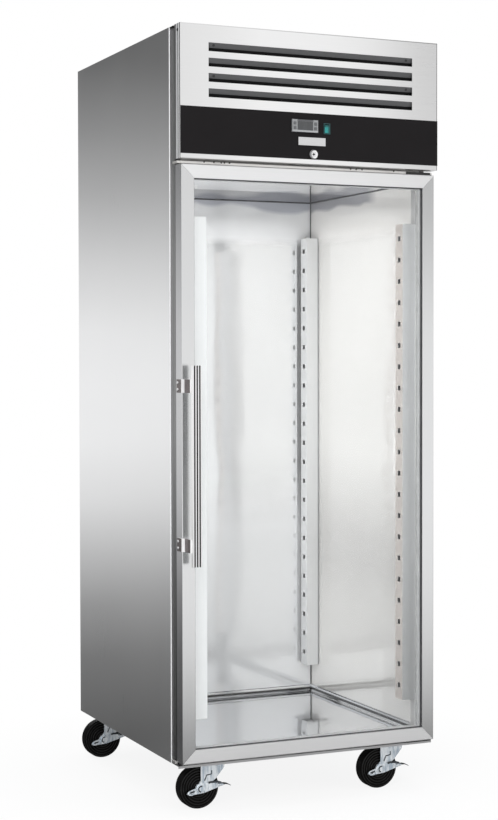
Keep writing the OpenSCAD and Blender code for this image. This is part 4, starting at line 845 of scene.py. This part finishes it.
def liner_corner_beads():
    """Thin beads of sealant in the chamber's corners, dark also as painted shade along the corners."""
    back_y, front_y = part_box("back_liner")[0].y, POST_HI.y
    top, foot = CEILING_Z, FLOOR_Z + COVE
    bead, apart = 2.2 * MM, 0.02 * MM
    bm = bmesh.new()
    for side in (-1, 1):
        outer, inner = side * CHAMBER_X, side * (CHAMBER_X - bead)
        box_between(bm, (outer, back_y - bead, foot), (inner, back_y, top))
        box_between(bm, (outer, front_y, top - bead), (inner, back_y - bead - apart, top))
    across = CHAMBER_X - bead - apart
    box_between(bm, (-across, back_y - bead, top - bead), (across, back_y, top))
    set_down("liner_corner_beads", bm, "cabinet", sealant_and_corner_shade)


def ledge_screws():
    """Small dark screw heads along the front edge of the ledge over the door."""
    ledge_front = FASCIA_HI.y - 30 * MM
    middle_z = FASCIA_LO.z - 6.5 * MM
    bm = bmesh.new()
    for x in (-302, -275, -255, -246, -232, 114, 131, 148, 243):
        pan_head(bm, (x * MM, ledge_front, middle_z), TO_FRONT, 2.3 * MM, 1.2 * MM)
    set_down("ledge_screws", bm, "cabinet", screw_dark)


def sill_ends():
    """Small rounded ends of the sill at the foot of the gap between each side and the door."""
    side_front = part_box("left_side_panel")[0].y
    bm = bmesh.new()
    for side in (-1, 1):
        outer, inner = side * (HALF_WIDTH - 0.5 * MM), side * (POST_HI.x + 0.2 * MM)
        box_between(bm, (outer, DOOR_HI.y + 2 * MM, SILL_Z + 1 * MM),
                    (inner, side_front - 1 * MM, SILL_Z + 9 * MM))
    round_edges(bm, bm.edges[:], 1.6 * MM, 3)
    set_down("sill_ends", bm, "cabinet", BY_SLOT["frame_light"])


folded_side("left_side_panel")
folded_side("right_side_panel")
for node, width in (("frame_rails", 0.8), ("frame_posts", 1.0), ("hinge_plates", 0.4), ("cable_gland", 0.8),
                    ("electrical_box", 1.5), ("humidifier_tank", 1.5), ("fan_motor", 1.2)):
    eased(node, width * MM)
liner_corner_beads()
ledge_screws()
sill_ends()


# Fascia

LOUVRE_LO, LOUVRE_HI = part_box("louvre_blades")
BLADES, BLADE_FLANGE, BLADE_BACK, BLADE_DROP = 4, 9 * MM, 7 * MM, 12 * MM
BLADE_PITCH = (LOUVRE_HI.z - LOUVRE_LO.z - BLADE_FLANGE - BLADE_DROP) / (BLADES - 1)
UNDER_SHEET = 1.4 * MM


def louvre_rivets():
    """Flat rivets near both ends of the first and third blades."""
    lean = Matrix.Rotation(math.radians(90) + math.atan2(BLADE_BACK, BLADE_DROP), 4, "X")
    from_end, down = 23 * MM, 0.5
    bm = bmesh.new()
    for row in (0, 2):
        z = LOUVRE_HI.z - BLADE_FLANGE - down * BLADE_DROP - row * BLADE_PITCH
        for side in (-1, 1):
            seat = (side * (LOUVRE_HI.x - from_end), LOUVRE_LO.y + down * BLADE_BACK, z)
            pan_head(bm, seat, lean, 3.6 * MM, 1.0 * MM)
    set_down("louvre_rivets", bm, "fascia", screw_dark)


def louvre_lips():
    """Lips that hang from the blades' lower edges, so that no slot can be looked through, black as painted
    shadow.
    """
    lip_height, lip_thickness, apart = 13 * MM, 1.0 * MM, 0.02 * MM
    bm = bmesh.new()
    for row in range(BLADES):
        blade_end = LOUVRE_HI.z - BLADE_FLANGE - BLADE_DROP - row * BLADE_PITCH
        box_between(bm, (LOUVRE_LO.x, LOUVRE_HI.y - lip_thickness, blade_end - lip_height),
                    (LOUVRE_HI.x, LOUVRE_HI.y, blade_end - apart))
    set_down("louvre_lips", bm, "fascia", louvre_lip_shadow)


def keyway():
    """Key slot in the face of the lock's plug: a thin disc on the face, dark as painted shade for the slot's
    depth.
    """
    face_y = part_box("lock_plug")[0].y
    barrel_lo, barrel_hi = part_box("lock_barrel")
    middle_z = (barrel_lo.z + barrel_hi.z) / 2
    radius, half_slot, slot_reach, depth = 2.8 * MM, 1.7 * MM, 4.0 * MM, 0.4 * MM
    bm = bmesh.new()
    disc = bmesh.ops.create_cone(bm, cap_ends=True, segments=36, radius1=radius, radius2=radius,
                                 depth=depth)["verts"]
    for side in (-1, 1):
        end = [v for v in disc if v.co.x * side > 0 and abs(v.co.y) < half_slot]
        bmesh.ops.scale(bm, vec=(0, 1, 1), verts=end)
        bmesh.ops.translate(bm, vec=(side * slot_reach, 0, 0), verts=end)
    seat = Matrix.Translation((0, face_y + 0.1 * MM, middle_z))
    bmesh.ops.transform(bm, matrix=seat @ TO_FRONT, verts=disc)
    set_down("lock_keyway", bm, "lock", keyway_painted_shade)


eased("fascia_panel", UNDER_SHEET, front_border(FASCIA_LO, FASCIA_HI), segments=4)
louvre_rivets()
louvre_lips()
keyway()
eased("bare_plate", 0.35 * MM)
eased("controller_housing", 0.8 * MM, at_depth(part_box("controller_housing")[0].y))
eased("controller_window", 0.3 * MM)
eased("rocker_housing", 0.5 * MM, at_depth(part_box("rocker_housing")[0].y))
eased("rocker_switch", 0.5 * MM)
eased("lock_barrel", 0.8 * MM)
eased("lock_plug", 0.3 * MM)
for button in ("button_upper_left", "button_lower_left", "button_upper_right", "button_lower_right"):
    eased(button, 0.7 * MM, segments=3)


# Door

def door_bar(node):
    """A door bar with a round outer edge and a fine one at the glass and the mitres."""
    bm = merged_copy(node)
    ease_edges(bm, 2.4 * MM, front_border(DOOR_LO, DOOR_HI), segments=4)
    ease_edges(bm, 0.5 * MM, at_depth(DOOR_LO.y, DOOR_HI.y))
    set_down(node + "_eased", bm, "door", finish_of(node), [node])


def handle_screw_heads():
    """Round heads, two on each bracket, with a sunk drive."""
    lo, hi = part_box("handle_screws")
    seat_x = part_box("handle_brackets")[0].x
    middle_y, radius, apart = (lo.y + hi.y) / 2, (hi.y - lo.y) / 2, 17 * MM
    lowest, highest = lo.z + radius, hi.z - radius
    bm = bmesh.new()
    for z in (lowest, lowest + apart, highest - apart, highest):
        pan_head(bm, (seat_x, middle_y, z), TO_LEFT, radius, seat_x - lo.x)
    set_down("handle_screw_heads", bm, "door", BY_SLOT["screw_steel"], ["handle_screws"])


door_bar("door_stiles")
door_bar("door_rails")
eased("handle_bar", 0.7 * MM)
eased("handle_brackets", 0.5 * MM)
handle_screw_heads()


# Casters

# Strips of painted shadow on a caster, as X and Z from its axle in millimetres
LEG_LINE = [(32, 44), (32, 35), (18, 33), (15, 26), (12, 19)]
BOLT_ARC = [(7.5 * math.cos(math.radians(a)), 7.5 * math.sin(math.radians(a))) for a in range(70, 261, 19)]
LEVER_TOP = [(22, 12.5), (30, 14.5), (38, 13.5), (46, 14.5), (58, 10.2)]
LEVER_TAIL = [(-31, -9.5), (-25, -7.5), (-17, -5.5)]
LEVER_TIP = [(58, 9.4), (66, 9.2), (73, 7.4), (79, 4)]


def ribbon(bm, points, width, y_front, y_back):
    """A flat strip of some width along points in the X-Z plane, given a thickness along Y."""
    left, right, last = [], [], len(points) - 1
    for i, (x, z) in enumerate(points):
        ahead, behind = points[min(i + 1, last)], points[max(i - 1, 0)]
        way = Vector((ahead[0] - behind[0], ahead[1] - behind[1])).normalized()
        left.append(bm.verts.new((x - way.y * width / 2, y_front, z + way.x * width / 2)))
        right.append(bm.verts.new((x + way.y * width / 2, y_front, z - way.x * width / 2)))
    faces = [bm.faces.new((left[i], left[i + 1], right[i + 1], right[i])) for i in range(last)]
    draw_out(bm, faces, (0, y_back - y_front, 0))


def caster_details(corner):
    """Pressed line on the front leg, crescent on the axle bolt, and edges of the brake lever, all dark as
    painted shadow.
    """
    wheel_lo, wheel_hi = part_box(corner + "_wheel")
    brake_lo, brake_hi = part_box(corner + "_brake")
    axle, sheet = (wheel_lo + wheel_hi) / 2, 2.5 * MM
    bolt_y, leg_y, lever_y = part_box(corner + "_fork")[0].y, brake_hi.y + 0.3 * MM, brake_hi.y - sheet
    on_lever = (lever_y - 0.3 * MM, lever_y + 0.5 * MM)
    for detail, body, strips in (
            ("_press_line", "_swivel", [(LEG_LINE, 3.2, leg_y - 0.25 * MM, leg_y + 0.4 * MM)]),
            ("_bolt_crescent", "_swivel", [(BOLT_ARC, 3.4, bolt_y - 0.2 * MM, bolt_y + 0.3 * MM)]),
            ("_lever_edges", "_lever", [(LEVER_TOP, 5.0, *on_lever), (LEVER_TAIL, 4.5, *on_lever),
                                        (LEVER_TIP, 1.6, brake_lo.y, lever_y + sheet)])):
        bm = bmesh.new()
        for points, width, y_front, y_back in strips:
            ribbon(bm, [(axle.x + x * MM, axle.z + z * MM) for x, z in points], width * MM, y_front, y_back)
        set_down(corner + detail, bm, corner + body, zinc_shadow)


for corner in CORNERS:
    eased(corner + "_fork", 0.6 * MM)
    eased(corner + "_brake", 0.6 * MM)
    eased(corner + "_wheel", 0.5 * MM)
    caster_details(corner)
eased("caster_plates", 0.5 * MM)


# Stage, light and camera

SIDE_LEVELS = [(0.0, 0.10), (0.128, 0.2), (0.2, 0.34), (0.27, 0.57), (0.34, 0.82), (0.42, 0.96), (0.5, 0.97),
               (0.57, 0.92), (0.66, 0.72), (0.75, 0.47), (0.84, 0.29), (0.94, 0.14)]
FRONT_LEVELS = [(0.0, 0.5), (0.12, 0.7), (0.24, 0.9), (0.36, 0.98), (0.56, 1.0), (0.66, 0.88), (0.74, 0.74),
                (0.86, 0.68), (0.98, 0.66)]
GRADED_HEIGHT = 2.2


def studio_floor():
    """Paper floor: softly shadowed near the part, white further off, and dimmer in metal and glass."""
    bm = bmesh.new()
    bmesh.ops.create_grid(bm, x_segments=1, y_segments=1, size=40.0)
    floor, mesh = object_of("studio_floor", bm)
    finish, tree, surface = own_finish("studio_floor")
    mesh.materials.append(finish)
    path = add(tree, "LightPath").outputs
    paper = add(tree, "BsdfDiffuse", Color=(0.86, 0.86, 0.86))
    white = add(tree, "Emission", Color=(1, 1, 1), Strength=1.0)
    whiter_outward = ranged(tree, length_of(tree, own_place(tree)), 0.88, 1.0, 0.45, 1.05)
    near = ranged(tree, place(tree, "Y"), 0.13, 0.42, -0.38, -0.9)
    middle = ranged(tree, place(tree, "Y"), 0.0, 0.4, -0.9, -3.0)
    far = ranged(tree, place(tree, "Y"), 0.0, 0.18, -3.0, -8.0)
    glow = reckon(tree, "ADD", near, reckon(tree, "ADD", middle, far))
    sheen = add(tree, "Emission", Color=(1, 1, 1), Strength=glow)
    shown_again = reckon(tree, "MAXIMUM", path["Is Glossy Ray"], path["Is Transmission Ray"])
    plain = blended(tree, path["Is Camera Ray"], paper, blended(tree, whiter_outward, paper, white))
    join(tree, blended(tree, shown_again, plain, sheen).outputs["Shader"], surface)


def graded_card(name, lo, hi, levels):
    """Upright studio card whose brightness changes with height, seen only in metal."""
    bm = bmesh.new()
    box_between(bm, lo, hi)
    card, mesh = object_of(name, bm)
    finish, tree, surface = own_finish(name)
    mesh.materials.append(finish)
    rise = along(tree, "Z", 0.0, GRADED_HEIGHT)
    glow = add(tree, "Emission", Color=stepped(tree, rise, levels), Strength=1.0)
    join(tree, glow.outputs["Emission"], surface)
    for ray in ("camera", "diffuse", "transmission", "volume_scatter", "shadow"):
        setattr(card, "visible_" + ray, False)


def studio_world():
    """Surroundings that are white to look at, and softer where they only light the part."""
    world = bpy.data.worlds.new("studio")
    bpy.context.scene.world = world
    world.use_nodes = True
    tree = world.node_tree
    tree.nodes.clear()
    path = add(tree, "LightPath").outputs
    soft = add(tree, "Background", Color=(0.95, 0.97, 1.0), Strength=0.62)
    white = add(tree, "Background", Color=(1, 1, 1), Strength=1.0)
    shown = reckon(tree, "MAXIMUM", path["Is Camera Ray"], path["Is Glossy Ray"])
    shown = reckon(tree, "MAXIMUM", shown, path["Is Transmission Ray"])
    surface = add(tree, "OutputWorld").inputs["Surface"]
    join(tree, blended(tree, shown, soft, white).outputs["Shader"], surface)


def soft_box(name, spot, aim, size, power):
    """A lamp that lights the part and isn't seen, nor shown again in metal."""
    lamp = bpy.data.lights.new(name, "AREA")
    lamp.shape = "RECTANGLE"
    lamp.size, lamp.size_y = size
    lamp.energy = power
    holder = bpy.data.objects.new(name, lamp)
    bpy.context.scene.collection.objects.link(holder)
    holder.location = spot
    holder.rotation_euler = (Vector(aim) - Vector(spot)).to_track_quat("-Z", "Y").to_euler()
    holder.visible_glossy = False
    holder.visible_camera = False


def photo_camera():
    """The view that the photograph was taken from."""
    stand = (-1.9739, -4.3989, 1.1615)
    yaw, pitch, roll = (math.radians(a) for a in (24.03, 1.62, -0.107))
    ahead = Vector((math.sin(yaw) * math.cos(pitch), math.cos(yaw) * math.cos(pitch), -math.sin(pitch)))
    right = Vector((math.cos(yaw), -math.sin(yaw), 0))
    up = right.cross(ahead)
    turned_right = right * math.cos(roll) + up * math.sin(roll)
    turned_up = up * math.cos(roll) - right * math.sin(roll)
    lens = bpy.data.cameras.new("photo_camera")
    lens.sensor_fit = "VERTICAL"
    lens.sensor_height = 36.0
    lens.lens = 75.47
    lens.clip_end = 200.0
    eye = bpy.data.objects.new("photo_camera", lens)
    bpy.context.scene.collection.objects.link(eye)
    turn = Matrix((turned_right, turned_up, -ahead)).transposed().to_4x4()
    eye.matrix_world = Matrix.Translation(stand) @ turn
    bpy.context.scene.camera = eye


studio_floor()
graded_card("side_card_left", (-3.4, 0.44, 0.002), (-0.371, 0.45, 2.9), SIDE_LEVELS)
graded_card("side_card_right", (0.371, 0.44, 0.002), (3.4, 0.45, 2.9), SIDE_LEVELS)
graded_card("front_card_right", (0.56, -1.0, 0.002), (2.2, -0.99, 2.9), FRONT_LEVELS)
studio_world()
soft_box("key_light", (-3.0, -4.2, 3.6), (0, 0, 1.0), (2.6, 2.6), 120)
soft_box("fill_light", (3.4, -3.8, 2.2), (0, 0, 1.0), (2.4, 2.8), 60)
soft_box("top_light", (0, -0.5, 4.6), (0, 0, 0), (3.0, 3.0), 60)
soft_box("chamber_light", (0, 0.02, 1.6), (0, 0.02, 0), (0.5, 0.5), 1.0)
soft_box("chamber_strip", (-0.325, -0.27, 1.1), (0.34, 0.1, 1.1), (0.04, 1.0), 1.2)
soft_box("chamber_back_fill", (0, 0.33, 0.95), (0, -0.3, 0.95), (0.5, 1.3), 1.5)
soft_box("low_fill", (-0.9, -2.2, 0.25), (0, -0.3, 0.08), (2.0, 0.4), 14)
photo_camera()

scene = bpy.context.scene
scene.view_settings.view_transform = "Standard"
scene.cycles.transparent_max_bounces = 24
scene.cycles.glossy_bounces = 8
